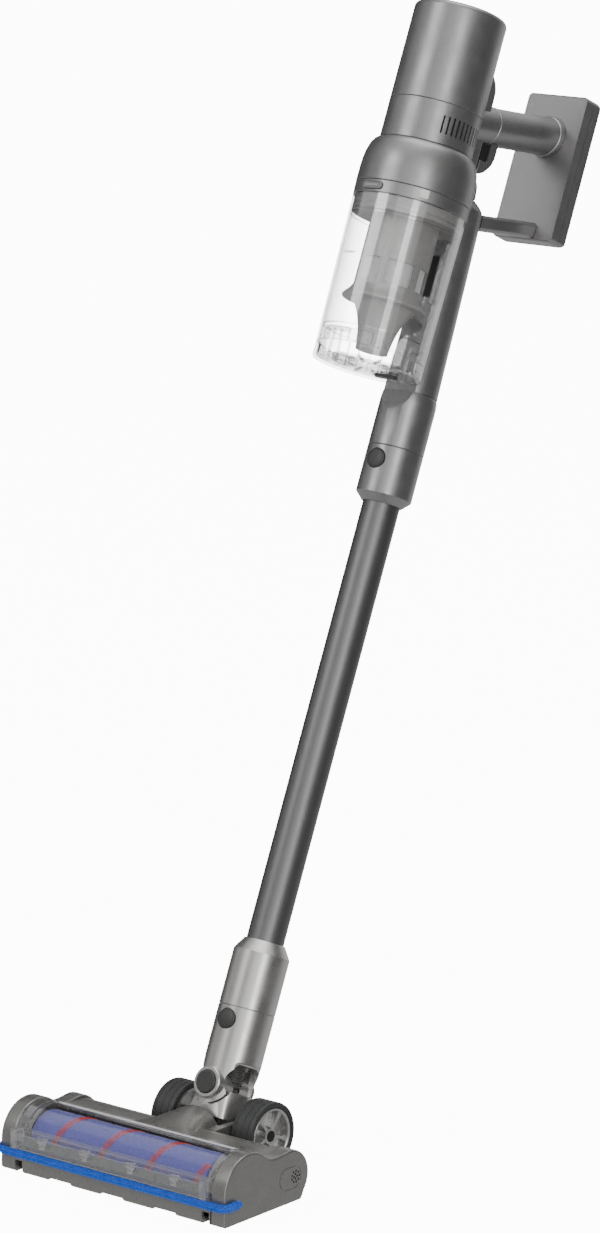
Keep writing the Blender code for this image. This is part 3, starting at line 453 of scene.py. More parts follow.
def loft(name, sections, place, material=None, closed=False, edge=0.0):
    """Skin a row of sections with equal numbers of points; closed joins last to first."""
    bm = bmesh.new()
    rows = [[bm.verts.new(point) for point in section] for section in sections]
    pairs = list(zip(rows, rows[1:])) + ([(rows[-1], rows[0])] if closed else [])
    for lower, upper in pairs:
        for i in range(len(lower)):
            j = (i + 1) % len(lower)
            bm.faces.new((lower[i], lower[j], upper[j], upper[i]))
    if not closed:
        bm.faces.new(rows[0])
        bm.faces.new(rows[-1])
    return finish(name, bm, place, material, edge)


def arc(cx, cy, radius, start, end, count):
    """Points on an arc, angles in degrees."""
    angles = [math.radians(start + (end - start) * i / count) for i in range(count + 1)]
    return [(cx + radius * math.cos(a), cy + radius * math.sin(a)) for a in angles]


def rounded(x0, y0, x1, y1, radius, count=8):
    """A rectangle with round corners."""
    return (arc(x1 - radius, y1 - radius, radius, 0, 90, count)
            + arc(x0 + radius, y1 - radius, radius, 90, 180, count)
            + arc(x0 + radius, y0 + radius, radius, 180, 270, count)
            + arc(x1 - radius, y0 + radius, radius, 270, 360, count))


def flow(points, count=6, closed=False):
    """A smooth curve through the points (Catmull-Rom)."""
    total = len(points)
    result = []
    for i in range(total if closed else total - 1):
        if closed:
            p = [points[(i + k) % total] for k in (-1, 0, 1, 2)]
        else:
            p = [points[max(i - 1, 0)], points[i], points[i + 1], points[min(i + 2, total - 1)]]
        for step in range(count):
            t = step / count
            result.append(tuple(
                0.5 * (2 * b + (c - a) * t + (2 * a - 5 * b + 4 * c - d) * t * t
                       + (3 * b - a - 3 * c + d) * t ** 3)
                for a, b, c, d in zip(*p)))
    return result if closed else result + [points[-1]]


def grown(outline, by):
    """A closed outline moved outwards along its own normals."""
    total = len(outline)
    area = sum(outline[i - 1][0] * outline[i][1] - outline[i][0] * outline[i - 1][1] for i in range(total))
    side = by if area > 0 else -by
    result = []
    for i in range(total):
        before = Vector(outline[i - 1])
        after = Vector(outline[(i + 1) % total])
        along = (after - before).normalized()
        result.append((outline[i][0] + along.y * side, outline[i][1] - along.x * side))
    return result


def apply_modifiers(obj):
    """Turn the object's modifiers into its mesh."""
    bpy.context.view_layer.update()
    evaluated = obj.evaluated_get(bpy.context.evaluated_depsgraph_get())
    mesh = bpy.data.meshes.new_from_object(evaluated)
    obj.modifiers.clear()
    obj.data = mesh
    return obj


def combine(target, others, operation):
    """Apply a boolean and remove the helpers."""
    for other in others:
        modifier = target.modifiers.new(other.name, "BOOLEAN")
        modifier.operation = operation
        modifier.object = other
        apply_modifiers(target)
        bpy.data.objects.remove(other)
    target.data.shade_smooth()
    target.data.set_sharp_from_angle(angle=SHARP)
    return target


def cut(target, *cutters):
    return combine(target, cutters, "DIFFERENCE")


def fuse(target, *pieces):
    return combine(target, pieces, "UNION")


def joined(name, place, pieces, material=None):
    """Put several separate solids into one object."""
    bm = bmesh.new()
    inverse = place.inverted()
    for piece in pieces:
        if piece.modifiers:
            apply_modifiers(piece)
        part = piece.data.copy()
        part.transform(inverse @ piece.matrix_world)
        bm.from_mesh(part)
        bpy.data.objects.remove(piece)
    return finish(name, bm, place, material)


def show(piece, node):
    """The piece stands for one CAD node and moves with its body."""
    flat = piece.modifiers.new("flat_faces", "WEIGHTED_NORMAL")
    flat.keep_sharp = True
    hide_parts(node)
    return trim(piece, BODY_OF[node], SLOT_OF[node])


def trim(piece, body, slot):
    """A small extra that moves with a body. Clear pieces let the light through."""
    piece.visible_shadow = slot != "clear"
    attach(piece, body)
    return piece


def radial(angle):
    """Main frame turned so that local -Y points at an angle from the front."""
    return MAIN @ Matrix.Rotation(angle, 4, "Z")


# ---------------------------------------------------------------- handheld

def motor_section():
    """Motor cover, vented ring, shoulder, and the screen with its button on top."""
    wall = 0.0025
    inner = MAIN_R - wall
    crown = arc(MAIN_R - 0.0050, MAIN_TOP - 0.0050, 0.0050, 0, 90, 12)
    cover = [(MAIN_R, MAIN_SEAM + GAP + 0.0004), *crown, (0.0345, MAIN_TOP), (0.0340, MAIN_TOP - 0.0005),
             (0.0340, 0.9996), (0.0375, 0.9996), (inner, 0.9960), (inner, MAIN_SEAM + GAP),
             (MAIN_R - 0.0004, MAIN_SEAM + GAP)]
    show(lathe("motor_cover_skin", cover, MAIN, PAINT["shell"]), "motor_cover")

    profile = [(MAIN_R - 0.0004, MAIN_SEAM), (MAIN_R, MAIN_SEAM - 0.0004), (MAIN_R, SHOULDER_TOP + GAP),
               (inner, SHOULDER_TOP + GAP), (inner, MAIN_SEAM)]
    housing = lathe("vent_housing_skin", profile, MAIN, PAINT["shell"])
    slots = []
    for side in (1, -1):
        for i in range(VENT_COUNT):
            outline = rounded(-0.0009, VENT_LOW, 0.0009, VENT_HIGH, 0.00088, 6)
            slots.append(prism("slot", outline, -0.050, -0.036,
                               radial(side * (VENT_FIRST + i * VENT_PITCH)),
                               None, "xz"))
    cut(housing, joined("vent_slots", MAIN, slots))
    show(housing, "vent_housing")
    # A near-black ring behind the vent slots: painted shade inside the housing.
    trim(ring("vent_slot_shade", inner - 0.0006, inner - 0.0012, VENT_LOW - 0.004, VENT_HIGH + 0.004, MAIN,
              PAINTED_SHADE,
              FINE), BODY_OF["vent_housing"], "button")

    outer = flow([(MAIN_R, SHOULDER_TOP - 0.0002), (0.0468, 0.8683), (0.0498, 0.8640), (0.0520, 0.8575),
                  (0.0533, 0.8500), (0.0539, 0.8400), (SHOULDER_R, BIN_TOP + 0.0008)], 8)
    shoulder = outer + [(SHOULDER_R - 0.0004, BIN_TOP + 0.0004), (0.0514, BIN_TOP + 0.0004),
                        (0.0512, 0.8450),
                        (0.0480, 0.8600), (inner, 0.8665), (inner, SHOULDER_TOP - 0.0002)]
    show(lathe("shoulder_skin", shoulder, MAIN, PAINT["shell"]), "shoulder_housing")

    button_place = at(MAIN, 0, 0.014, 0)
    screen = disc("screen_glass", 0.0336, 0.9975, 1.0010, MAIN, PAINT["screen"], FINE)
    cut(screen, disc("screen_hole", 0.0085, 0.99, 1.01, button_place))
    show(soften(screen, 0.0003), "top_screen")
    dome = [(0, 0.9985), (0.0081, 0.9985), (0.0081, 1.0014), (0.0076, 1.0020), (0.0050, 1.0022),
            (0, 1.0019)]
    show(lathe("power_key", dome, button_place, PAINT["button"], MEDIUM), "power_button")
    bars = [box("bar", (x - 0.0020, -0.0162, 1.0010), (x + 0.0020, -0.0150, 1.00115), MAIN, DIODE)
            for x in (-0.0075, -0.0025, 0.0025, 0.0075)]
    trim(joined("charge_bars", MAIN, bars, PAINT["silver"]), BODY_OF["top_screen"], "silver")


def grip_section(radius, plane, count=FINE):
    """Where a round bar along the rise meets a plane across the handle."""
    points = []
    for i in range(count):
        angle = 2 * math.pi * i / count
        up = radius * math.sin(angle)
        along = (plane - GRIP_START[0] + up * math.sin(GRIP_RISE)) / math.cos(GRIP_RISE)
        height = GRIP_START[1] + along * math.sin(GRIP_RISE) + up * math.cos(GRIP_RISE)
        points.append((radius * math.cos(angle), plane, height))
    return points


def rear_block():
    """Slim block behind the motor, with the round stub that carries the grip."""
    keys = [(0.8463, 0.0150, 0.0025), (0.8540, 0.0146, 0.0020), (0.8600, 0.0140, 0.0010),
            (0.8645, 0.0131, -0.0025), (0.8690, BLOCK_HALF, BLOCK_BACK), (0.8900, BLOCK_HALF, BLOCK_BACK),
            (0.9200, BLOCK_HALF, BLOCK_BACK), (0.9440, BLOCK_HALF, BLOCK_BACK), (0.9520, 0.0124, -0.0075),
            (0.9580, 0.0121, -0.0115), (0.9630, 0.0112, -0.0170), (0.9660, 0.0095, -0.0250)]
    sections = [[(x, u, s) for x, u in rounded(-half, -0.0500, half, back, BLOCK_CORNER)]
                for s, half, back in flow(keys, 4)]
    block = loft("rear_block_skin", sections, WAND, PAINT["shell"])
    stub = loft("stub", [grip_section(GRIP_R, -0.0450), grip_section(GRIP_R, STUB_END)], WAND)
    clearance = [(0, 1.0), (MAIN_R + GAP, 1.0), (MAIN_R + GAP, SHOULDER_TOP)] + flow(
        [(0.0472, 0.8685), (0.0502, 0.8640), (0.0524, 0.8575), (0.0537, 0.8500), (0.0544, 0.8400),
         (0.0544, 0.83)], 5) + [(0, 0.83)]
    bore = loft("stub_bore", [grip_section(GRIP_R - 0.003, -0.0220),
                              grip_section(GRIP_R - 0.003, STUB_END + 0.005)], WAND)
    fuse(block, stub)
    show(cut(block, lathe("housing_room", clearance, MAIN), bore), "rear_block")
    lip = [grip_section(GRIP_R + 0.0001, STUB_END - 0.0030), grip_section(GRIP_R + 0.0005,
                                                                          STUB_END - 0.0026),
           grip_section(GRIP_R + 0.0005, STUB_END), grip_section(GRIP_R - 0.0005, STUB_END)]
    trim(loft("stub_lip", lip, WAND, PAINT["shell"], closed=True), BODY_OF["rear_block"], "shell")


def trigger():
    """Rounded lobe with a finger recess in each flank, lined with near-black panels of painted shade."""
    curve = flow([(TRIGGER_FRONT + 0.0004, 0.8710), (-0.0030, 0.8705), (0.0008, 0.8716), (0.0060, 0.8744),
                  (0.0093, 0.8774), (0.0130, 0.8813), (0.0153, 0.8850), (0.0169, 0.8903), (0.0174, 0.8970),
                  (0.0172, 0.9080)], 6)
    outline = [(TRIGGER_FRONT, 0.9080), (TRIGGER_FRONT, 0.8716)] + curve
    lobe = prism("trigger_lobe", outline, -TRIGGER_HALF, TRIGGER_HALF, WAND, PAINT["shell"], "yz", 0.0012,
                 4)
    apply_modifiers(lobe)
    far = 0.03
    grip = at(WAND, 0, *GRIP_START) @ Matrix.Rotation(GRIP_RISE, 4, "X") @ ALONG_BACK
    corner = arc(0.0050, 0.8856, 0.0018, -90, 0, 6)
    recess = [(-0.0100, 0.9040), (-0.0100, 0.8838)] + corner + [(0.0068, 0.9040)]
    rooms = [prism("recess", recess, low, high, WAND, None, "yz") for low,
             high in ((-far, -0.0092), (0.0092, far))]
    show(cut(lobe, disc("grip_room", GRIP_R + 0.0008, -far, far, grip, None, FINE), *rooms), "trigger")
    # Thin near-black panels lining the recesses: painted shade inside the hollow flanks.
    edge = TRIGGER_FRONT + 0.0002
    panel = [(edge, 0.8985), (edge, 0.8838)] + corner + [(0.0068, 0.9010)]
    shade_panels = [prism("panel", panel, x - 0.0003, x + 0.0003, WAND, PAINTED_SHADE, "yz") for x in (-0.0095, 0.0095)]
    trim(joined("trigger_recess_shade", WAND, shade_panels, PAINTED_SHADE), BODY_OF["trigger"], "button")


def handle():
    """Round grip and the flat strut below it."""
    start = STUB_END + GAP
    end = SLAB_FRONT - GAP
    waist = [(start, GRIP_R), (0.012, GRIP_R - 0.0001), (0.040, GRIP_R - 0.0004), (0.075, GRIP_R - 0.0002),
             (0.0915, GRIP_R), (end, GRIP_R)]
    rows = [grip_section(radius, plane) for plane, radius in waist]
    rows += [grip_section(GRIP_R - 0.003, end), grip_section(GRIP_R - 0.003, start)]
    show(loft("grip_skin", rows, WAND, PAINT["shell"], closed=True), "handle_grip")
    lip = [grip_section(GRIP_R + 0.0002, 0.0945), grip_section(GRIP_R + 0.0011, 0.0952),
           grip_section(GRIP_R + 0.0013, 0.0975), grip_section(GRIP_R + 0.0013, end),
           grip_section(GRIP_R + 0.0001, end)]
    trim(loft("grip_collar", lip, WAND, PAINT["shell"], closed=True), BODY_OF["handle_grip"], "shell")

    rise = math.tan(GRIP_RISE)
    half = STRUT_THICK / 2 / math.cos(GRIP_RISE)
    sections = []
    for u, grow in ((0.010, 0.0), (0.0235, 0.0), (0.060, 0.0), (end - 0.0006, 0.0), (end, -0.0006)):
        height = STRUT_START[1] + (u - STRUT_START[0]) * rise
        sections.append([(x, u, s) for x, s in rounded(-STRUT_HALF - grow, height - half - grow,
                                                       STRUT_HALF + grow, height + half + grow, 0.0040)])
    strut = loft("strut_skin", sections, WAND, PAINT["shell"])
    cut(strut, disc("strut_room", SPINE_R + GAP, 0.75, 0.90, WAND, None, FINE))
    show(strut, "lower_strut")


def slab_outline(inset):
    """Side view of the battery: tight corners in front, wide ones behind."""
    tight = max(SLAB_FRONT_CORNER - inset, 0.0005)
    wide = SLAB_BACK_CORNER - inset
    front, back = SLAB_FRONT + inset, SLAB_BACK - inset
    low, high = SLAB_BOTTOM + inset, SLAB_TOP - inset
    return (arc(back - wide, high - wide, wide, 0, 90, 12) + arc(front + tight, high - tight, tight, 90,
                                                                 180, 6)
            + arc(front + tight, low + tight, tight, 180, 270, 6) + arc(back - wide, low + wide, wide,
                                                                        270, 360, 12))


def battery():
    """Two half shells with a thin plate and a charge port on the back."""
    middle = (SLAB_FRONT + SLAB_BACK) / 2
    far = 0.05
    for node, low, high in (("battery_front", middle, SLAB_BACK + far),
                            ("battery_back", SLAB_FRONT - far, middle + GAP)):
        shell = prism(node + "_skin", slab_outline(0), -SLAB_HALF, SLAB_HALF, WAND, PAINT["shell"], "yz")
        face = prism("face", rounded(-SLAB_HALF, SLAB_BOTTOM, SLAB_HALF, SLAB_TOP, SLAB_SIDE_CORNER),
                     SLAB_FRONT - far, SLAB_BACK + far, WAND, None, "xz")
        combine(shell, [face], "INTERSECT")
        soften(shell, 0.0005, 3)
        apply_modifiers(shell)
        inside = prism("inside", slab_outline(SLAB_WALL), SLAB_WALL - SLAB_HALF, SLAB_HALF - SLAB_WALL,
                       WAND,
                       None, "yz")
        cut(shell, inside, box("half", (-far, low, 0.80), (far, high, 1.02), WAND))
        show(shell, node)
    plate = prism("back_plate", rounded(-0.0270, 0.8480, 0.0270, 0.9720, 0.0060), SLAB_BACK - 0.0002,
                  SLAB_BACK + 0.0006, WAND, PAINT["shell"], "xz", 0.0003)
    trim(plate, BODY_OF["battery_back"], "shell")
    # A flat near-black patch on the back: painted shade for the port's opening.
    port = prism("charge_port_shade", rounded(-0.0055, 0.8560, 0.0055, 0.8620, 0.0028), SLAB_BACK,
                 SLAB_BACK + 0.0008,
                 WAND, PAINTED_SHADE, "xz")
    trim(port, BODY_OF["battery_back"], "button")


def duct_outline(radius, front):
    """A circle with a flat front."""
    half = math.degrees(math.acos(min(1.0, -front / radius)))
    return arc(0, 0, radius, -90 + half, 270 - half, FINE)


def spine():
    """Duct behind the bin and the collar at its foot."""
    keys = [(SPINE_BOTTOM, 0.0252), (0.6800, 0.0247), (0.7200, 0.0240), (0.7700, 0.0230), (0.8100, 0.0221),
            (0.8300, 0.0215), (SPINE_TOP, 0.0208)]
    duct = loft("spine_skin", [[(x, u, s) for x, u in duct_outline(radius, SPINE_FRONT)] for s,
                               radius in keys],
                WAND, PAINT["shell"])
    hollow = prism("duct_hollow", duct_outline(SPINE_R - 0.0025, SPINE_FRONT + 0.0025), SPINE_BOTTOM - 0.01,
                   0.8100, WAND)
    inlet = box("duct_inlet", (-0.0105, -0.030, 0.7450), (0.0105, -0.0100, 0.7850), WAND)
    taper = [(0.0235, 0.8290)] + flow([(0.0229, 0.8300), (0.0218, 0.8340), (0.0195, 0.8385),
                                       (0.0160, 0.8425),
                                       (0.0118, 0.8458)], 5)
    taper += [(0.0118, 0.8500), (0.0500, 0.8500), (0.0500, 0.8290)]
    cut(duct, hollow, inlet, lathe("duct_taper", taper, WAND))
    show(duct, "spine_duct")
    rim = flow([(0.0249, SPINE_BOTTOM - GAP), (0.0257, 0.6535), (COLLAR_R, 0.6480)], 5)
    profile = rim + [(COLLAR_R, NOZZLE_SEAM + GAP + 0.0004), (COLLAR_R - 0.0004, NOZZLE_SEAM + GAP),
                     (0.0223, NOZZLE_SEAM + GAP), (0.0223, 0.6285), (0.0200, 0.6285), (0.0172, 0.6400),
                     (0.0172, SPINE_BOTTOM - GAP)]
    nozzle = lathe("nozzle_skin", profile, WAND, PAINT["shell"])
    cut(nozzle, disc("lid_sweep", LID_SWEEP_R, -0.06, 0.06, at(WAND, 0, HINGE_U, HINGE_S) @ ALONG_X, None,
                     240))
    show(nozzle, "nozzle_collar")


# ---------------------------------------------------------------- dust bin

def bin_ring():
    """Ring on top of the bin, with its release key and lock window."""
    profile = [(0.0535, BIN_TOP), (0.0539, BIN_TOP - 0.0004), (0.0535, RING_BOTTOM + GAP + 0.0003),
               (0.0532, RING_BOTTOM + GAP), (0.0500, RING_BOTTOM + GAP), (0.0500, BIN_TOP)]
    band = lathe("bin_ring_skin", profile, MAIN, PAINT["shell"])
    middle = (BIN_TOP + RING_BOTTOM) / 2
    press = radial(math.radians(-6)) @ Matrix.Translation((0, -SHOULDER_R, middle))
    hole = rounded(-0.0120, -0.0038, 0.0120, 0.0038, 0.0037)
    cut(band, prism("button_hole", hole, -0.01, 0.01, press, None, "xz"))
    show(band, "bin_ring")
    capsule = rounded(-0.0115, -0.0033, 0.0115, 0.0033, 0.0032)
    show(prism("bin_key", capsule, -0.0008, 0.0034, press, PAINT["shell"], "xz", 0.0006, 3), "bin_button")
    ridge = rounded(-0.0080, -0.0010, 0.0080, 0.0010, 0.0010)
    trim(prism("bin_key_ridge", ridge, -0.0014, -0.0006, press, PAINT["satin"], "xz", 0.0003),
         BODY_OF["bin_button"], "satin")
    window = radial(math.radians(49)) @ Matrix.Translation((0, -SHOULDER_R, middle + 0.0012))
    trim(prism("lock_window", rounded(-0.0043, -0.0040, 0.0043, 0.0040, 0.0005), -0.0001, 0.0010, window,
               PAINT["satin"], "xz", 0.0002), BODY_OF["bin_ring"], "satin")


def bin_cup():
    """Clear cup with its bands, tab and inlet vane."""
    taper = (CUP_TOP_R - CUP_BOTTOM_R) / (RING_BOTTOM - LID_TOP)

    def radius(s):
        return CUP_BOTTOM_R + taper * (s - LID_TOP)

    low = LID_TOP + GAP
    profile = [(CUP_TOP_R, RING_BOTTOM), (radius(low), low), (radius(low) - 0.0018, low),
               (CUP_TOP_R - 0.0018, RING_BOTTOM)]
    cup = lathe("cup_skin", profile, MAIN, PAINT["clear"], FINE)
    notch = prism("cup_notch", [(-0.0300, LID_BOTTOM), (0.0300, LID_BOTTOM), (0.0300, LID_STEP_TOP + GAP),
                                (-0.0300, LID_STEP_TOP + GAP)], -0.060, -0.030, MAIN, None, "xz")
    inlet = box("cup_inlet", (-0.0105, 0.035, 0.7450), (0.0105, 0.060, 0.7850), MAIN)
    show(cut(cup, notch, inlet), "bin_cup")
    bands = []
    for s, deep in ((0.8040, 0.0007), (0.7995, 0.0007), (0.7962, 0.0004), (0.6905, 0.0006)):
        r = radius(s) - 0.0019
        bands.append(ring("band", r, r - deep, s - 0.0006, s + 0.0006, MAIN, None, FINE))
    trim(joined("cup_bands", MAIN, bands, CLEAR_RIB), BODY_OF["bin_cup"], "clear")
    tab = box("cup_tab", (-0.0070, -radius(0.757) + 0.0020, 0.7562),
              (0.0070, -radius(0.757) + 0.0060, 0.7574),
              radial(math.radians(-22)), CLEAR_RIB, 0.0003)
    trim(tab, BODY_OF["bin_cup"], "clear")
    vane = [(x, y) for x, y in flow([(0.0120, 0.0490), (0.0240, 0.0430), (0.0335, 0.0330),
                                     (0.0380, 0.0210)], 8)]
    blade = vane + [(x * 0.965, y * 0.965) for x, y in reversed(vane)]
    trim(prism("inlet_vane", blade, 0.7380, 0.7900, MAIN, CLEAR_RIB), BODY_OF["bin_cup"], "clear")


def cyclone():
    """Cone, skirt and drum, with wire mesh in the drum windows."""
    outer = (flow([(0.0150, 0.6765), (0.0158, 0.6840), (0.0178, 0.6950), (0.0212, 0.7060), (0.0262, 0.7160),
                   (0.0300, 0.7196)], 6)
             + flow([(0.0392, 0.7205), (0.0398, 0.7222), (0.0385, 0.7242), (0.0345, 0.7290),
                     (0.0320, 0.7335)], 5)
             + [(0.0320, 0.7985), (0.0510, 0.7994), (0.0512, RING_BOTTOM - GAP)])
    inner = [(0.0440, RING_BOTTOM - GAP), (0.0400, 0.8020), (0.0296, 0.8005), (0.0296, 0.7300),
             (0.0260, 0.7215),
             (0.0190, 0.7060), (0.0145, 0.6905), (0.0130, 0.6790), (0, 0.6790)]
    # The shroud takes the lighter copy of the shell plastic: painted light.
    body = lathe("shroud_skin", [(0, 0.6765)] + outer + inner, MAIN, SHELL_PAINTED_LIGHT)
    windows = []
    for i in range(6):
        outline = rounded(-0.0125, 0.7370, 0.0125, 0.7590, 0.0010)
        windows.append(prism("window", outline, -0.040, -0.022, radial(math.radians(50 + 60 * i)), None,
                             "xz"))
    show(cut(body, joined("shroud_windows", MAIN, windows)), "cyclone_shroud")

    bm = bmesh.new()
    columns, levels = 220, 40
    grid = [[bm.verts.new((0.0287 * math.cos(2 * math.pi * (i + 0.5 * (k % 2)) / columns),
                           0.0287 * math.sin(2 * math.pi * (i + 0.5 * (k % 2)) / columns),
                           0.7325 + 0.0320 * k / levels)) for i in range(columns)] for k in range(levels + 1)]
    for k in range(levels):
        for i in range(columns):
            j = (i + 1) % columns
            bm.faces.new((grid[k][i], grid[k][j], grid[k + 1][j], grid[k + 1][i]))
    screen = finish("mesh_screen", bm, MAIN, PAINT["mesh"])
    wires = screen.modifiers.new("wires", "WIREFRAME")
    wires.thickness = 0.00030
    show(screen, "shroud_mesh")
    trim(ring("filter_drum", 0.0282, 0.0268, 0.7320, 0.7650, MAIN, PAINT["filter"], FINE),
         BODY_OF["shroud_mesh"], "filter")


def bin_lid():
    """Clear lid with a raised step in front."""
    r = CUP_BOTTOM_R
    profile = [(0, LID_BOTTOM), (0.0495, LID_BOTTOM), *arc(r - 0.0014, LID_BOTTOM + 0.0014, 0.0014, -90,
                                                           0, 5),
               (r, LID_TOP), (r - 0.0025, LID_TOP), (r - 0.0025, LID_BOTTOM + LID_FLOOR),
               (0, LID_BOTTOM + LID_FLOOR)]
    lid = lathe("lid_skin", profile, MAIN, PAINT["clear"])
    half = math.asin(0.0297 / r)
    span = 36
    step = []
    for level, radius in ((LID_TOP + 0.0001, r), (LID_STEP_TOP, r), (LID_STEP_TOP, r - 0.0038),
                          (LID_TOP + 0.0001, r - 0.0038)):
        angles = [-math.pi / 2 - half + 2 * half * i / span for i in range(span + 1)]
        step.append([(radius * math.cos(a), radius * math.sin(a), level) for a in angles])
    bm = bmesh.new()
    rows = [[bm.verts.new(p) for p in row] for row in step]
    for a, b in zip(rows, rows[1:] + rows[:1]):
        for i in range(span):
            bm.faces.new((a[i], a[i + 1], b[i + 1], b[i]))
    bm.faces.new([row[0] for row in rows])
    bm.faces.new([row[-1] for row in rows])
    step_wall = finish("lid_step", bm, MAIN, CLEAR_RIB)
    show(lid, "bin_lid")
    trim(soften(step_wall, 0.0003), BODY_OF["bin_lid"], "clear")


def lid_fittings():
    """Ribs, hoops and posts of the lid, its hinge barrel and its latch."""
    r = CUP_BOTTOM_R
    ribs = []
    for i in range(28):
        turn = MAIN @ Matrix.Rotation(2 * math.pi * i / 28, 4, "Z")
        ribs.append(box("rib", (-0.0006, -r + 0.0026, LID_BOTTOM + LID_FLOOR),
                        (0.0006, -r + 0.0052, LID_TOP - 0.0005),
                        turn))
        if i % 2 == 0:
            ribs.append(box("rib", (-0.0005, -r + 0.0060, LID_BOTTOM + LID_FLOOR),
                            (0.0005, -0.0200, LID_BOTTOM + LID_FLOOR + 0.0030), turn))
    for radius in (0.0190, 0.0340):
        ribs.append(ring("hoop", radius, radius - 0.0012, LID_BOTTOM + LID_FLOOR, LID_BOTTOM + 0.0070, MAIN))
    for i in range(7):
        angle = math.radians(-30 + 10 * i)
        ribs.append(box("post", (-0.0006, -r + 0.0010, LID_TOP),
                        (0.0006, -r + 0.0036, LID_STEP_TOP - 0.0010),
                        radial(angle)))
    trim(joined("lid_ribs", MAIN, ribs, CLEAR_RIB), BODY_OF["bin_lid"], "clear")
    barrel = disc("lid_barrel", 0.0024, -0.012, 0.012, at(WAND, 0, HINGE_U, HINGE_S) @ ALONG_X, CLEAR_RIB,
                  COARSE, 0.0003)
    trim(barrel, BODY_OF["bin_lid"], "clear")
    latch = at(MAIN, 0.016, 0.010, 0)
    show(prism("latch_skin", rounded(-0.012, -0.005, 0.012, 0.005, 0.0045), LID_BOTTOM - 0.0030,
               LID_BOTTOM - GAP, latch, PAINT["button"], "xy", 0.0006, 3), "lid_latch")


# ---------------------------------------------------------------- wand and neck

def pocket(name, s):
    """Recess that a round button sits in."""
    return disc(name, BUTTON_R + 0.0004, -0.035, -0.0208, at(WAND, 0, 0, s) @ ALONG_BACK, None, FINE)


def round_button(name, s, node):
    """Slightly domed button in a thin dark recess."""
    place = at(WAND, 0, -0.0240, s) @ ALONG_BACK
    profile = [(0, -0.0040), (0.0040, -0.0039), (0.0070, -0.0036), (0.0086, -0.0032), (BUTTON_R, -0.0025),
               (BUTTON_R, -0.0002), (0, -0.0002)]
    show(lathe(name, profile, place, PAINT["button"], MEDIUM), node)


def wand():
    """Tube with a collar and a round button at each end."""
    top = [(COLLAR_R - 0.0004, NOZZLE_SEAM), (COLLAR_R, NOZZLE_SEAM - 0.0004), (COLLAR_R, NOZZLE_RIM),
           (0.0190, NOZZLE_CHAMFER), (0.0178, NOZZLE_CHAMFER), (0.0178, 0.5760), (TUBE_BORE, 0.5760),
           (TUBE_BORE, 0.6280), (0.0220, 0.6280), (0.0220, NOZZLE_SEAM)]
    collar = lathe("top_collar_skin", top, WAND, PAINT["shell"])
    show(cut(collar, pocket("wand_pocket", WAND_BUTTON_S)), "wand_top_collar")
    round_button("wand_key", WAND_BUTTON_S, "wand_button")
    show(ring("tube_skin", TUBE_R, TUBE_BORE, 0.1035, 0.5757, WAND, PAINT["tube"], FINE, 0.0002),
         "wand_tube")
    bottom = [(0.0190, COLLAR_CHAMFER), (COLLAR_R, COLLAR_RIM), (COLLAR_R, NECK_SEAM + GAP + 0.0004),
              (COLLAR_R - 0.0004, NECK_SEAM + GAP), (0.0223, NECK_SEAM + GAP), (0.0223, 0.0985),
              (TUBE_BORE, 0.0985), (TUBE_BORE, 0.1030), (0.0178, 0.1030), (0.0178, COLLAR_CHAMFER)]
    show(lathe("bottom_collar_skin", bottom, WAND, PAINT["satin"]), "wand_bottom_collar")


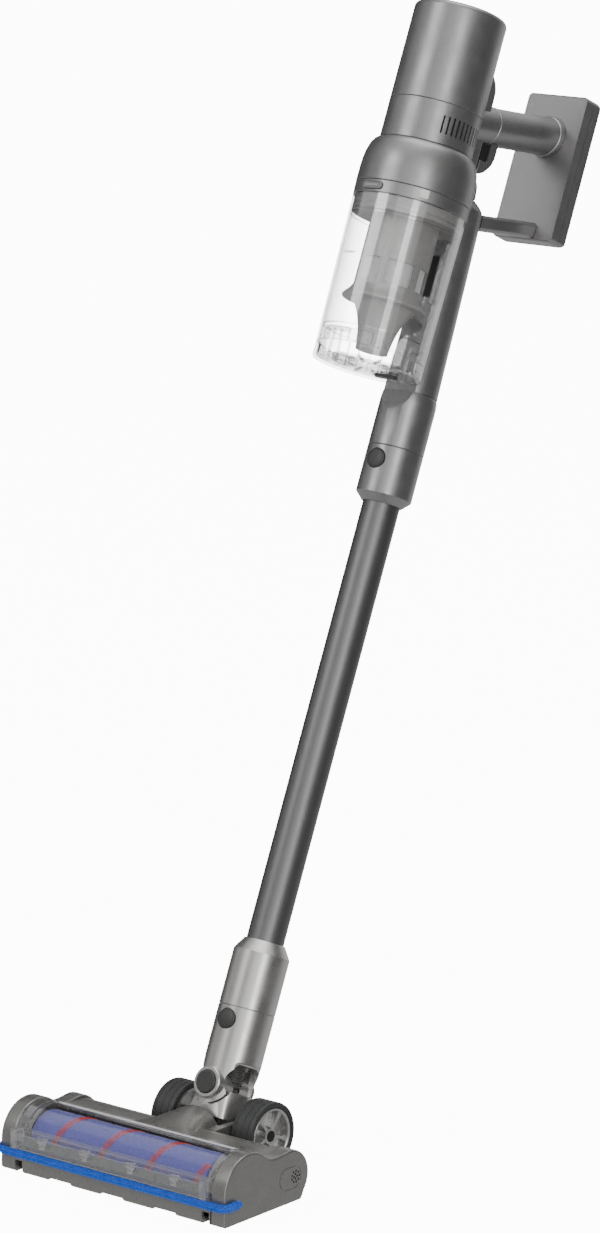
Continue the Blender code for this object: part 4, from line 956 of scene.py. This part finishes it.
def neck():
    """Sleeve with side openings, bosses for the swivel pins, and its button."""
    far = 0.040
    top = 0.0240
    trim_line = ([(-far, top)] + arc(-LUG_R - 0.0035, top - 0.0035, 0.0035, 90, 0, 6)
                 + arc(0, 0, LUG_R, 180, 360, 60) + arc(LUG_R + 0.0035, top - 0.0035, 0.0035, 180, 90, 6)
                 + [(far, top), (far, -far), (-far, -far)])
    profile = [(COLLAR_R, NECK_SEAM - 0.0004), (COLLAR_R, -0.0200), (SLEEVE_BORE, -0.0200),
               (SLEEVE_BORE, 0.0980), (0.0220, 0.0980), (0.0220, NECK_SEAM), (COLLAR_R - 0.0004, NECK_SEAM)]
    sleeve = lathe("sleeve_skin", profile, WAND, PAINT["satin"])
    across = WAND @ ALONG_BACK
    inside = rounded(-TONGUE_IN, -0.0300, TONGUE_IN, 0.0220, 0.0060)
    side = flow([(-0.0120, 0.0216), (-0.0185, 0.0175), (-0.0222, 0.0095), (-0.0222, 0.0010),
                 (-0.0195, -0.0070),
                 (-0.0175, -0.0120), (-0.0175, -0.0300)], 6) + [(0.0175, -0.0300)] + flow(
        [(0.0175, -0.0120), (0.0195, -0.0070), (0.0222, 0.0010), (0.0222, 0.0095), (0.0185, 0.0175),
         (0.0120, 0.0216)], 6)
    flanks = [prism("flank", side, low, high, WAND, None, "yz") for low,
              high in ((-0.05, -0.0100), (0.0100, 0.05))]
    cut(sleeve, prism("tongue_gap", inside, -0.030, 0.030, WAND, None, "yz"), *flanks,
        prism("sleeve_trim", trim_line, -0.05, 0.05, WAND, None, "xz"),
        pocket("neck_pocket", NECK_BUTTON_S))
    boss = lathe("pin_boss", [(0, -0.0190), (0.0145, -0.0190), (0.0145, -0.0298), (0.0138, -0.0305),
                              (0, -0.0305)], across, None, FINE)
    rear = lathe("rear_boss", [(0, 0.0190), (0.0110, 0.0190), (0.0110, 0.0284), (0.0104, 0.0290),
                               (0, 0.0290)],
                 across, None, FINE)
    fuse(sleeve, boss, rear)
    cut(sleeve, disc("pin_bore", 0.0053, -0.040, 0.040, across),
        disc("head_room", 0.0112, -0.040, -0.0285, across, None, FINE))
    show(sleeve, "neck_sleeve")
    round_button("neck_key", NECK_BUTTON_S, "neck_button")
    pin = [(0, -0.0322), (0.0088, -0.0322), *arc(0.0097, -0.0310, 0.0012, -90, 0, 5), (0.0109, -0.0288),
           (0.0050, -0.0288), (0.0050, -PIN_IN), (0, -PIN_IN)]
    show(lathe("pin_cap", pin, across, PAINT["button"], MEDIUM), "pivot_pin_front")


def skirt(scale, half, s):
    """A closed ring between a circle (half 0) and a rounded square (half 1)."""
    points = []
    for i in range(FINE):
        angle = 2 * math.pi * (i + 0.5) / FINE
        c, d = math.cos(angle), math.sin(angle)
        reach = (abs(c) ** 6 + abs(d) ** 6) ** (-1 / 6)
        radius = scale * (1 - half + reach * half)
        points.append((radius * c, radius * d, s))
    return points


def yoke():
    """Fork on the wheel axle: a round skirt on top, flat cheeks below, ears for the swivel pins."""
    outer = [(0.0250, 0.0, -0.0040), (0.0255, 0.04, -0.0052), (0.0254, 0.18, -0.0100),
             (0.0252, 0.38, -0.0160),
             (0.0247, 0.68, -0.0225), (0.0242, 0.92, -0.0275), (0.0238, 1.0, -0.0290)]
    inner = [(0.0170, 1.0, -0.0290), (0.0170, 0.3, -0.0160), (0.0170, 0.0, -0.0040)]
    body = loft("yoke_skin", [skirt(*row) for row in outer + inner], WAND, PAINT["satin"], closed=True)
    web = loft("web", [skirt(0.0180, 0.8, -0.0192), skirt(0.0180, 1.0, -0.0250)], WAND)
    barrel = disc("barrel", 0.0180, -0.0215, 0.0215, AXLE, None, FINE)
    across = WAND @ ALONG_BACK
    ear = arc(0, 0, 0.0120, 0, 180, 40) + [(-0.0120, -0.0240), (0.0120, -0.0240)]
    fuse(body, web, barrel, prism("ears", ear, -EAR_OUT, EAR_OUT, WAND, None, "xz"))
    cut(body, disc("front_room", LUG_ROOM_R, -0.05, -EAR_OUT - GAP / 2, across, None, FINE),
        disc("rear_room", LUG_ROOM_R, EAR_OUT + GAP / 2, 0.05, across, None, FINE),
        disc("passage", PASSAGE_R, -0.0500, 0.0300, WAND, None, FINE),
        disc("pin_bore", 0.0053, -0.040, 0.040, across),
        disc("axle_bore", 0.0034, -0.04, 0.04, AXLE))
    show(body, "neck_yoke")


def hose():
    """Ribbed hose through the neck, wider in the sleeve's side openings."""
    ribs = []
    low, high = HOSE_SPAN
    pitch = (high - low) / HOSE_RIBS
    for i in range(HOSE_RIBS):
        s = low + pitch * i
        ribs += [(0.0126 - 0.0009 * (1 + math.cos(2 * math.pi * k / 10)), s + pitch * k / 10)
                 for k in range(10)]
    profile = ribs + [(0.0108, high), (0.0092, high), *[(0.0092,
                                                         high - (high - low) * k / 24) for k in range(1,
                                                                                                      25)]]
    piece = lathe("hose_skin", profile, WAND, PAINT["rubber"], MEDIUM)
    for vertex in piece.data.vertices:
        x, u, s = vertex.co
        if -0.0040 < s < 0.0320:
            fade = min(1.0, (s + 0.0040) / 0.0060, (0.0320 - s) / 0.0060)
            vertex.co.x = x * (1 + 0.26 * fade * (x * x / (x * x + u * u)) ** 2)
    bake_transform(piece)
    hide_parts("neck_hose")


# ---------------------------------------------------------------- floor head

def cap_outline():
    """Side view of an end cap: big front lobe, lower rear lobe, flat bottom."""
    front = arc(ROLLER_Y, ROLLER_Z, 0.0340, 182, 52, 40)
    rear = arc(-0.0030, MOTOR_Z, 0.0248, 96, -40, 30)
    bridge = flow([front[-1], (-0.0300, 0.0494), (-0.0190, 0.0484), rear[0]], 6)[1:-1]
    return [(-0.0900, 0.0010), *arc(-0.0905, 0.0045, 0.0035, -95, -170, 6)] + front + bridge + rear + [
        (0.0120, 0.0010)]


def side_caps():
    """End caps with an outlined panel and a cluster of holes."""
    for node, side in (("side_cap_left", -1), ("side_cap_right", 1)):
        low, high = sorted((side * CAP_INNER, side * HEAD_HALF))
        cap = prism(node + "_skin", cap_outline(), low, high, HEAD, PAINT["head"], "yz", 0.0018, 4)
        apply_modifiers(cap)
        place = at(HEAD, side * CAP_INNER, ROLLER_Y, ROLLER_Z) @ ALONG_X
        face = side * HEAD_HALF
        groove_out = grown(cap_outline(), -0.0052)
        groove_in = grown(cap_outline(), -0.0064)
        groove = cut(prism("groove", groove_out, face - 0.0005, face + 0.0005, HEAD, None, "yz"),
                     prism("groove_core", groove_in, face - 0.001, face + 0.001, HEAD, None, "yz"))
        oval = prism("oval", rounded(-0.0190, 0.0140, 0.0110, 0.0350, 0.0104), face - 0.0004,
                     face + 0.0004, HEAD,
                     None, "yz")
        oval_core = prism("oval_core", rounded(-0.0182, 0.0148, 0.0102, 0.0342, 0.0096), face - 0.001,
                          face + 0.001, HEAD, None, "yz")
        cut(cap, disc("bearing", 0.0062, -0.0060, 0.0060, place), groove, cut(oval, oval_core))
        holes = []
        for radius, number in ((0.0021, 4), (0.0051, 9)):
            for i in range(number):
                angle = 2 * math.pi * i / number
                y = 0.0032 + radius * math.cos(angle)
                z = 0.0245 + radius * math.sin(angle)
                holes.append(disc("hole", 0.00115, -0.0018, 0.0018, at(HEAD, face, y, z) @ ALONG_X, None,
                                  12))
        cut(cap, joined("vent_holes", HEAD, holes))
        show(cap, node)
        # A near-black disc behind the holes: painted shade inside the cap.
        trim(disc("vent_hole_shade_" + ("left" if side < 0 else "right"), 0.0066, -0.0003, 0.0003,
                  at(HEAD, face - side * 0.0010, 0.0032, 0.0245) @ ALONG_X, PAINTED_SHADE, COARSE), "head", "button")


def arched(y, width, low, edge, top):
    """Section of the neck duct across y: straight sides up to edge, arched to top."""
    steps = 40
    arch = []
    for i in range(steps + 1):
        across, up = math.cos(math.pi * i / steps), math.sin(math.pi * i / steps)
        arch.append((width * across, y, edge + (top - edge) * up ** 0.8))
    return [(width, y, low)] + arch + [(-width, y, low)]


def head_shell():
    """Rear deck of the floor head, with the duct that runs up to the neck."""
    half = CAP_INNER - GAP
    outer = [(-0.0335, 0.0500), (-0.0290, 0.0497)] + flow(
        [(-0.0240, DECK_Z + 0.0018), (-0.0190, DECK_Z + 0.0010), (-0.0120, DECK_Z + 0.0006)], 5) + arc(
        -0.0030, MOTOR_Z - 0.0015, 0.0235, 96, -28, 40)
    inner = [(0.0150, 0.0130)] + arc(-0.0030, MOTOR_Z - 0.0015, 0.0210, -20, 96, 24) + [
        (-0.0240, DECK_Z - 0.0015), (-0.0300, 0.0460)]
    wall = [(-0.0295, 0.0052), (-0.0320, 0.0052), (-0.0320, 0.0440), (-0.0345, 0.0470)]
    shell = prism("head_skin", outer + [(0.0178, 0.0100), (0.0150, 0.0100)] + inner + wall, -half, half,
                  HEAD,
                  PAINT["head"], "yz")

    keys = [(-0.0310, 0.0470, 0.0420, 0.0440, 0.0495), (-0.0220, 0.0385, 0.0400, 0.0430, 0.0520),
            (-0.0110, 0.0310, 0.0340, 0.0400, 0.0545), (0.0020, 0.0262, 0.0260, 0.0380, 0.0566),
            (0.0140, 0.0244, 0.0170, 0.0370, 0.0575), (0.0290, 0.0235, 0.0100, 0.0370, 0.0575)]
    duct = loft("duct", [arched(*row) for row in flow(keys, 8)], HEAD)
    bores = [(-0.0420, 0.0300, 0.0340, 0.0405, 0.0425), (-0.0100, 0.0240, 0.0250, 0.0440, 0.0500),
             (0.0400, 0.0190, 0.0200, 0.0420, 0.0520)]
    bore = loft("duct_bore", [arched(*row) for row in bores], HEAD)
    cheeks = []
    for side in (1, -1):
        low, high = sorted((side * 0.0222, side * 0.0335))
        outline = [(0.0100, 0.0100), (0.0100, 0.0440), (0.0300, 0.0440)] + arc(AXLE_Y, AXLE_Z, 0.0110, 90,
                                                                               -90,
                                                                               24) + [(0.0300, 0.0120)]
        cheeks.append(prism("cheek", outline, low, high, HEAD, None, "yz"))
    fuse(shell, duct, *cheeks)
    cut(shell, bore,
        disc("roller_room", 0.0285, -0.2, 0.2, ROLLER, None, FINE),
        disc("barrel_room", 0.0200, -0.0220, 0.0220, AXLE, None, FINE),
        disc("axle_room", 0.0033, -0.07, 0.07, AXLE),
        box("low_room", (-0.0262, 0.024, 0.0), (0.0262, 0.10, 0.0750), HEAD),
        disc("yoke_room", 0.0352, -0.0262, 0.0262, AXLE, None, FINE))
    show(soften(shell, 0.0004), "head_shell")


def sole():
    """Sole plate with its opening, front notches and small rollers."""
    half = CAP_INNER - GAP
    outline = [(SOLE_FRONT, 0.0235), (SOLE_FRONT, 0.0030), (-0.0920, 0.0010), (SOLE_BACK, 0.0010),
               (0.0170, 0.0060), (0.0170, 0.0095), (0.0135, 0.0095), (0.0110, 0.0045), (-0.0880, 0.0045),
               (-0.0905, 0.0080), (-0.0905, 0.0235)]
    plate = prism("sole_skin", outline, -half, half, HEAD, PAINT["head"], "yz")
    opening = prism("sole_opening", rounded(-0.1060, -0.0855, 0.1060, -0.0345, 0.0030), -0.01, 0.0120, HEAD)
    rooms = [box("pocket", (x - 0.0042, -0.1000, -0.01), (x + 0.0042, -0.0740, 0.0125), HEAD)
             for x in (-0.1105, 0.1105)]
    teeth = []
    for x in (-0.0620, 0.0, 0.0620):
        notch = [(x - 0.0170, -0.01), (x + 0.0170, -0.01), (x + 0.0135, 0.0042), (x - 0.0135, 0.0042)]
        teeth.append(prism("tooth", notch, -0.1000, -0.0880, HEAD, None, "xz"))
    cut(plate, opening, joined("sole_pockets", HEAD, rooms), joined("sole_teeth", HEAD, teeth))
    show(soften(plate, 0.0004), "sole_plate")
    for node, x in (("front_roller_left", -0.1105), ("front_roller_right", 0.1105)):
        profile = [(0, -0.0028), (0.0050, -0.0028), (0.0060, -0.0020), (0.0062, 0), (0.0060, 0.0020),
                   (0.0050, 0.0028), (0, 0.0028)]
        show(lathe(node + "_skin", profile, at(HEAD, x, -0.0815, 0.0062) @ ALONG_X, PAINT["rubber"],
                   COARSE),
             node)


def window():
    """Curved clear window with its thicker rims."""
    half = CAP_INNER - GAP
    outer = arc(ROLLER_Y, ROLLER_Z, WINDOW_R, 154, 47, 60)
    inner = arc(ROLLER_Y, ROLLER_Z, WINDOW_R - 0.0018, 47, 154, 60)
    show(prism("window_skin", outer + inner, -half, half, HEAD, WINDOW, "yz"), "roller_window")

    def rim(name, low, high, start, end, thick, material):
        outline = (arc(ROLLER_Y, ROLLER_Z, WINDOW_R + thick, start, end, 40)
                   + arc(ROLLER_Y, ROLLER_Z, WINDOW_R + 0.0001, end, start, 40))
        return trim(prism(name, outline, low, high, HEAD, material, "yz", 0.0004), "head", "clear")

    rim("window_end_left", -half, -half + 0.0100, 176, 47, 0.0016, CLEAR_RIB)
    rim("window_end_right", half - 0.0070, half, 176, 47, 0.0016, CLEAR_RIB)
    rim("window_inner_left", -half + 0.0112, -half + 0.0152, 154, 62, 0.0007, CLEAR_RIB)
    rim("window_top_band", -half + 0.0100, half - 0.0070, 61, 48, 0.0018, FROSTED)
    rim("window_front_bead", -half + 0.0100, half - 0.0070, 158, 152, 0.0012, CLEAR_RIB)


def light_bar():
    """Clear front bar with rails, clips and end blocks."""
    half = CAP_INNER - GAP
    bar = [(-0.0975, 0.0250), (-0.0980, 0.0400), (-0.0972, 0.0405), (-0.0888, 0.0405), (-0.0890, 0.0250)]
    lens = prism("lens_skin", bar, -half + 0.001, half - 0.001, HEAD, PAINT["clear"], "yz", 0.0004)
    apply_modifiers(lens)
    cut(lens, box("lens_slot", (-0.105, -0.0945, 0.0200), (0.105, -0.0915, 0.0360), HEAD))
    show(lens, "lens_bar")
    rails = [box("rail", (-half + 0.004, -0.0984, z), (half - 0.004, -0.0978, z + 0.0012), HEAD)
             for z in (0.0252, 0.0384)]
    trim(joined("lens_rails", HEAD, rails, CLEAR_RIB), "head", "clear")
    clips = []
    for x in (-0.0780, -0.0270, 0.0270, 0.0780):
        outline = rounded(x - 0.0062, 0.0350, x + 0.0062, 0.0412, 0.0012)
        clips.append(prism("clip", outline, -0.0992, -0.0962, HEAD, None, "xz", 0.0005))
        clips.append(prism("clip", rounded(x - 0.0034, 0.0300, x + 0.0034, 0.0352, 0.0010), -0.0990,
                           -0.0972, HEAD,
                           None, "xz", 0.0004))
    trim(joined("window_clips", HEAD, clips, CLEAR_RIB), "head", "clear")
    blocks = []
    for side in (-1, 1):
        low, high = sorted((side * (half - 0.0085), side * (half - 0.0005)))
        blocks.append(box("block", (low, -0.0995, 0.0245), (high, -0.0895, 0.0430), HEAD, None, 0.0008))
    trim(joined("lens_ends", HEAD, blocks, CLEAR_RIB), "head", "clear")


def diodes():
    """Light strip behind the lens bar."""
    board = box("led_strip", (-0.1040, -0.0938, 0.0262), (0.1040, -0.0922, 0.0350), HEAD, PAINT["board"])
    show(board, "led_board")
    row = []
    for x in (-0.0950, -0.0520, 0.0, 0.0520, 0.0950):
        row.append(prism("diode", [(x - 0.0022, 0.0280), (x + 0.0022, 0.0280), (x + 0.0012, 0.0328),
                                      (x - 0.0012, 0.0328)], -0.0949, -0.0939, HEAD, None, "xz"))
    trim(joined("diodes", HEAD, row, DIODE), "head", "board")


def fibres(name, roots, place, material, width, seed, lean=0.45):
    """Short tapered fibres; each root is (point, direction, length)."""
    noise = random.Random(seed)
    bm = bmesh.new()
    for point, direction, length in roots:
        sway = Vector((noise.uniform(-1, 1), noise.uniform(-1, 1), noise.uniform(-1, 1)))
        tip = point + (direction + sway * lean).normalized() * length
        side = direction.orthogonal().normalized()
        other = direction.cross(side)
        base = []
        for k in range(3):
            angle = 2 * math.pi * k / 3
            base.append(bm.verts.new(point + (side * math.cos(angle) + other * math.sin(angle)) * width))
        end = bm.verts.new(tip)
        for k in range(3):
            bm.faces.new((base[k], base[(k + 1) % 3], end))
        bm.faces.new(base)
    return finish(name, bm, place, material)


def bumper():
    """Plush strip along the front lip that wraps round both ends."""
    front = -0.0972
    points = [(-HEAD_HALF - 0.0032, -0.0760), (-HEAD_HALF - 0.0032, front + 0.0045),
              (-HEAD_HALF - 0.0015, front + 0.0012), (-HEAD_HALF + 0.0020, front)]
    points += [(-x, y) for x, y in reversed(points)]
    line = [Vector((x, y, STRIP_Z)) for x, y in points]
    path = []
    for a, b in zip(line, line[1:]):
        steps = max(1, int((b - a).length / 0.0008))
        path += [a + (b - a) * i / steps for i in range(steps)]
    path.append(line[-1])
    noise = random.Random(5)
    sections = []
    roots = []
    around = 20
    for i, point in enumerate(path):
        before = path[max(i - 1, 0)]
        after = path[min(i + 1, len(path) - 1)]
        along = (after - before).normalized()
        side = along.cross(Vector((0, 0, 1)))
        end = min(i, len(path) - 1 - i) * 0.0008
        body = STRIP_R * math.sqrt(min(1.0, (end + 0.0004) / 0.0030))
        section = []
        for k in range(around):
            angle = 2 * math.pi * k / around
            outward = side * math.cos(angle) + Vector((0, 0, 1)) * math.sin(angle)
            radius = body * (0.90 + 0.10 * noise.random())
            section.append(point + outward * radius)
            if outward.dot(side) > -0.45 or i % 2:
                for _ in range(3):
                    jitter = along * noise.uniform(-0.0005, 0.0005)
                    roots.append((point + outward * radius * 0.90 + jitter, outward,
                                  noise.uniform(0.0016, 0.0034)))
        sections.append(section)
    show(loft("plush_strip", sections, HEAD, PAINT["plush"]), "bumper_strip")
    trim(fibres("plush_fibres", roots, HEAD, PLUSH_TIP, 0.00026, 6, 0.9), "head", "plush")


def roller():
    """Velvet sleeve with red bristle rows that wind round it."""
    low, high = -0.1048, 0.1008
    around, along = 180, 160
    noise = random.Random(11)
    sections = []
    for i in range(along + 1):
        z = low + (high - low) * i / along
        edge = min(i, along - i)
        shrink = 0.0010 if edge == 0 else 0.0
        sections.append([((PILE_R - shrink + noise.uniform(-0.0002,
                                                           0.0003)) * math.cos(2 * math.pi * k / around),
                          (PILE_R - shrink + noise.uniform(-0.0002,
                                                           0.0003)) * math.sin(2 * math.pi * k / around),
                          z) for k in range(around)])
    core = [[(0.0184 * math.cos(2 * math.pi * k / around), 0.0184 * math.sin(2 * math.pi * k / around), z)
             for k in range(around)] for z in (high, low)]
    show(loft("velvet_sleeve", sections + core, ROLLER, PAINT["pile"], closed=True), "brush_pile")

    nap = []
    for _ in range(26000):
        angle = noise.uniform(0, 2 * math.pi)
        z = noise.uniform(low, high)
        outward = Vector((math.cos(angle), math.sin(angle), 0))
        nap.append((outward * (PILE_R - 0.0003) + Vector((0, 0, z)), outward,
                    noise.uniform(0.0004, 0.0009)))
    trim(fibres("velvet_nap", nap, ROLLER, PAINT["pile"], 0.00014, 12), BODY_OF["brush_pile"], "pile")

    rows = []
    turns = (high - low - 0.006) / BRISTLE_PITCH
    count = int(1150 * turns)
    for i in range(count):
        x = low + 0.003 + (high - low - 0.006) * i / count
        angle = BRISTLE_PHASE - 2 * math.pi * (x - BRISTLE_X) / BRISTLE_PITCH
        for lane in range(9):
            z = x + BRISTLE_WIDTH * (lane / 8 - 0.5) + noise.uniform(-0.0003, 0.0003)
            turn = angle + noise.uniform(-0.012, 0.012)
            outward = Vector((math.cos(turn), math.sin(turn), 0))
            rows.append((outward * (PILE_R - 0.0004) + Vector((0, 0, z)), outward,
                         noise.uniform(0.0008, 0.0012)))
    trim(fibres("bristle_rows", rows, ROLLER, BRISTLE, 0.00040, 13), BODY_OF["brush_pile"], "pile")


def wheels():
    """Grooved tyres on spoked hubs."""
    for side, word in ((-1, "left"), (1, "right")):
        turn = AXLE if side == 1 else AXLE @ Matrix.Rotation(math.pi, 4, "X")
        middle = (WHEEL_IN + WHEEL_OUT) / 2
        far = WHEEL_OUT - 0.0006
        tread = [(0.0262, WHEEL_IN), (WHEEL_R - 0.0016, WHEEL_IN), (WHEEL_R - 0.0004, WHEEL_IN + 0.0008),
                 (WHEEL_R, WHEEL_IN + 0.0022)]
        for z in (WHEEL_IN + 0.0050, middle, WHEEL_OUT - 0.0056):
            tread += [(WHEEL_R, z - 0.0004), (WHEEL_R - 0.0004, z - 0.0002), (WHEEL_R - 0.0004, z + 0.0002),
                      (WHEEL_R, z + 0.0004)]
        tread += [(WHEEL_R, far - 0.0022), (WHEEL_R - 0.0004, far - 0.0008), (WHEEL_R - 0.0016, far),
                  (0.0276, far), (0.0272, far - 0.0006), (0.0262, far - 0.0006)]
        show(lathe("tread_" + word, tread, turn, PAINT["tyre"], FINE), "tyre_" + word)

        rim = [(0.0033, WHEEL_IN + 0.001), (0.0080, WHEEL_IN + 0.001), (0.0080, middle - 0.002),
               (0.0232, middle - 0.002), (0.0232, WHEEL_IN + 0.001), (0.0259, WHEEL_IN + 0.001),
               (0.0259, WHEEL_OUT - 0.0019), (0.0255, WHEEL_OUT - 0.0015), (0.0240, WHEEL_OUT - 0.0015),
               (0.0232, WHEEL_OUT - 0.0024), (0.0226, middle + 0.0020), (0.0080, middle + 0.0020),
               (0.0074, WHEEL_OUT - 0.0034), (0.0068, WHEEL_OUT - 0.0030), (0.0045, WHEEL_OUT - 0.0030),
               (0.0043, middle + 0.0040), (0.0033, middle + 0.0040)]
        hub = lathe("hub_" + word, rim, turn, PAINT["silver"], FINE)
        spokes = []
        for i in range(5):
            place = turn @ Matrix.Rotation(2 * math.pi * i / 5, 4, "Z")
            outline = [(0.0065, -0.0016), (0.0150, -0.0013), (0.0240, -0.0030), (0.0240, 0.0030),
                       (0.0150, 0.0013), (0.0065, 0.0016)]
            spokes.append(prism("spoke", outline, middle, WHEEL_OUT - 0.0036, place, None, "xy"))
        fuse(hub, *spokes)
        show(soften(hub, 0.0003), "wheel_" + word)
        # A near-black disc at the bottom of the hub's recess: painted shade.
        trim(disc("hub_hole_shade_" + word, 0.0052, WHEEL_OUT - 0.0031, WHEEL_OUT - 0.0025, turn, PAINTED_SHADE, COARSE),
             BODY_OF["wheel_" + word], "button")


# ---------------------------------------------------------------- carried-over nodes, studio, camera

def paint_inner_pieces():
    """CAD nodes that stay as they are get their slot's material."""
    for node, obj in frame["nodes"].items():
        obj.data.materials.clear()
        obj.data.materials.append(PAINT[SLOT_OF[node]])


def backdrop_surface():
    """White surface that glows a little, like a lit studio sweep."""
    surface = Surface("white_sweep", (0.86, 0.86, 0.86), 0.8)
    surface.shader.inputs["Emission Color"].default_value = (1, 1, 1, 1)
    surface.shader.inputs["Emission Strength"].default_value = SWEEP_GLOW
    return surface.material


def emitter(name, shade):
    """Plain white glow."""
    material = bpy.data.materials.new(name)
    material.use_nodes = True
    tree = material.node_tree
    tree.nodes.clear()
    glow = tree.nodes.new("ShaderNodeEmission")
    glow.inputs["Color"].default_value = (1, 1, 1, 1)
    glow.inputs["Strength"].default_value = shade
    output = tree.nodes.new("ShaderNodeOutputMaterial")
    tree.links.new(glow.outputs["Emission"], output.inputs["Surface"])
    return material


def hide_from_all_but_reflections(card):
    """Stage piece that lights the object only through its reflections."""
    card.visible_camera = False
    card.visible_diffuse = False
    card.visible_shadow = False
    card.visible_transmission = False


def studio_card(name, start, end, shade):
    """A tall curved card round the object that only shows in reflections. Angles are from the camera."""
    bm = bmesh.new()
    steps = 16
    rows = []
    for i in range(steps + 1):
        angle = math.radians(start + (end - start) * i / steps) + CAMERA_TURN
        x, y = CARD_R * math.sin(angle), -CARD_R * math.cos(angle)
        rows.append((bm.verts.new((x, y, -1.5)), bm.verts.new((x, y, 6.0))))
    for a, b in zip(rows, rows[1:]):
        bm.faces.new((a[0], b[0], b[1], a[1]))
    hide_from_all_but_reflections(finish(name, bm, Matrix.Identity(4), emitter(name + "_glow", shade)))


def sweep():
    """White floor and dome that only the camera sees, so they do not flatten the reflections."""
    floor = prism("floor", arc(0, 0, SWEEP_R, 0, 354, 59), -0.02, 0.0, Matrix.Identity(4),
                  backdrop_surface())
    dome = lathe("dome", [(29.8, 0.0), *arc(0, 0, 29.8, 0, 90, 12), (0, 30.2), *arc(0, 0, 30.2, 90, 0, 12)],
                 Matrix.Identity(4), emitter("dome_glow", DOME_GLOW), MEDIUM)
    for piece in (floor, dome):
        piece.visible_diffuse = False
        piece.visible_glossy = False
    dome.visible_shadow = False


def softbox(name, place, target, size, energy):
    """Rectangular soft light aimed at a point."""
    light = bpy.data.lights.new(name, "AREA")
    light.shape = "RECTANGLE"
    light.size, light.size_y = size
    light.energy = energy
    obj = bpy.data.objects.new(name, light)
    obj.location = place
    obj.rotation_euler = (Vector(target) - Vector(place)).to_track_quat("-Z", "Y").to_euler()
    bpy.context.scene.collection.objects.link(obj)


def studio():
    """White world, sweep, reflection cards and soft lights."""
    world = bpy.data.worlds.new("studio")
    world.use_nodes = True
    world.node_tree.nodes["Background"].inputs["Color"].default_value = (1, 1, 1, 1)
    world.node_tree.nodes["Background"].inputs["Strength"].default_value = WORLD_GLOW
    bpy.context.scene.world = world
    sweep()
    for name, start, end, shade in CARDS:
        studio_card(name, start, end, shade)
    ceiling = prism("ceiling", arc(0, 0, 3.0, 0, 354, 59), 6.2, 6.25, Matrix.Identity(4),
                    emitter("ceiling_glow", CEILING))
    hide_from_all_but_reflections(ceiling)
    for row in SOFTBOXES:
        softbox(*row)


def camera():
    """Long lens from the front right, a little above."""
    data = bpy.data.cameras.new("camera")
    data.lens = CAMERA_LENS
    data.sensor_width = 36
    obj = bpy.data.objects.new("camera", data)
    obj.location = CAMERA_PLACE
    obj.rotation_euler = (CAMERA_TILT, 0, CAMERA_TURN)
    bpy.context.scene.collection.objects.link(obj)
    bpy.context.scene.camera = obj


camera()
studio()
paint_inner_pieces()
for build in (motor_section, rear_block, trigger, handle, battery, spine, bin_ring, bin_cup, cyclone,
              bin_lid, lid_fittings, wand, neck, yoke, hose, side_caps, head_shell, sole, window, light_bar,
              diodes, bumper, roller, wheels):
    build()
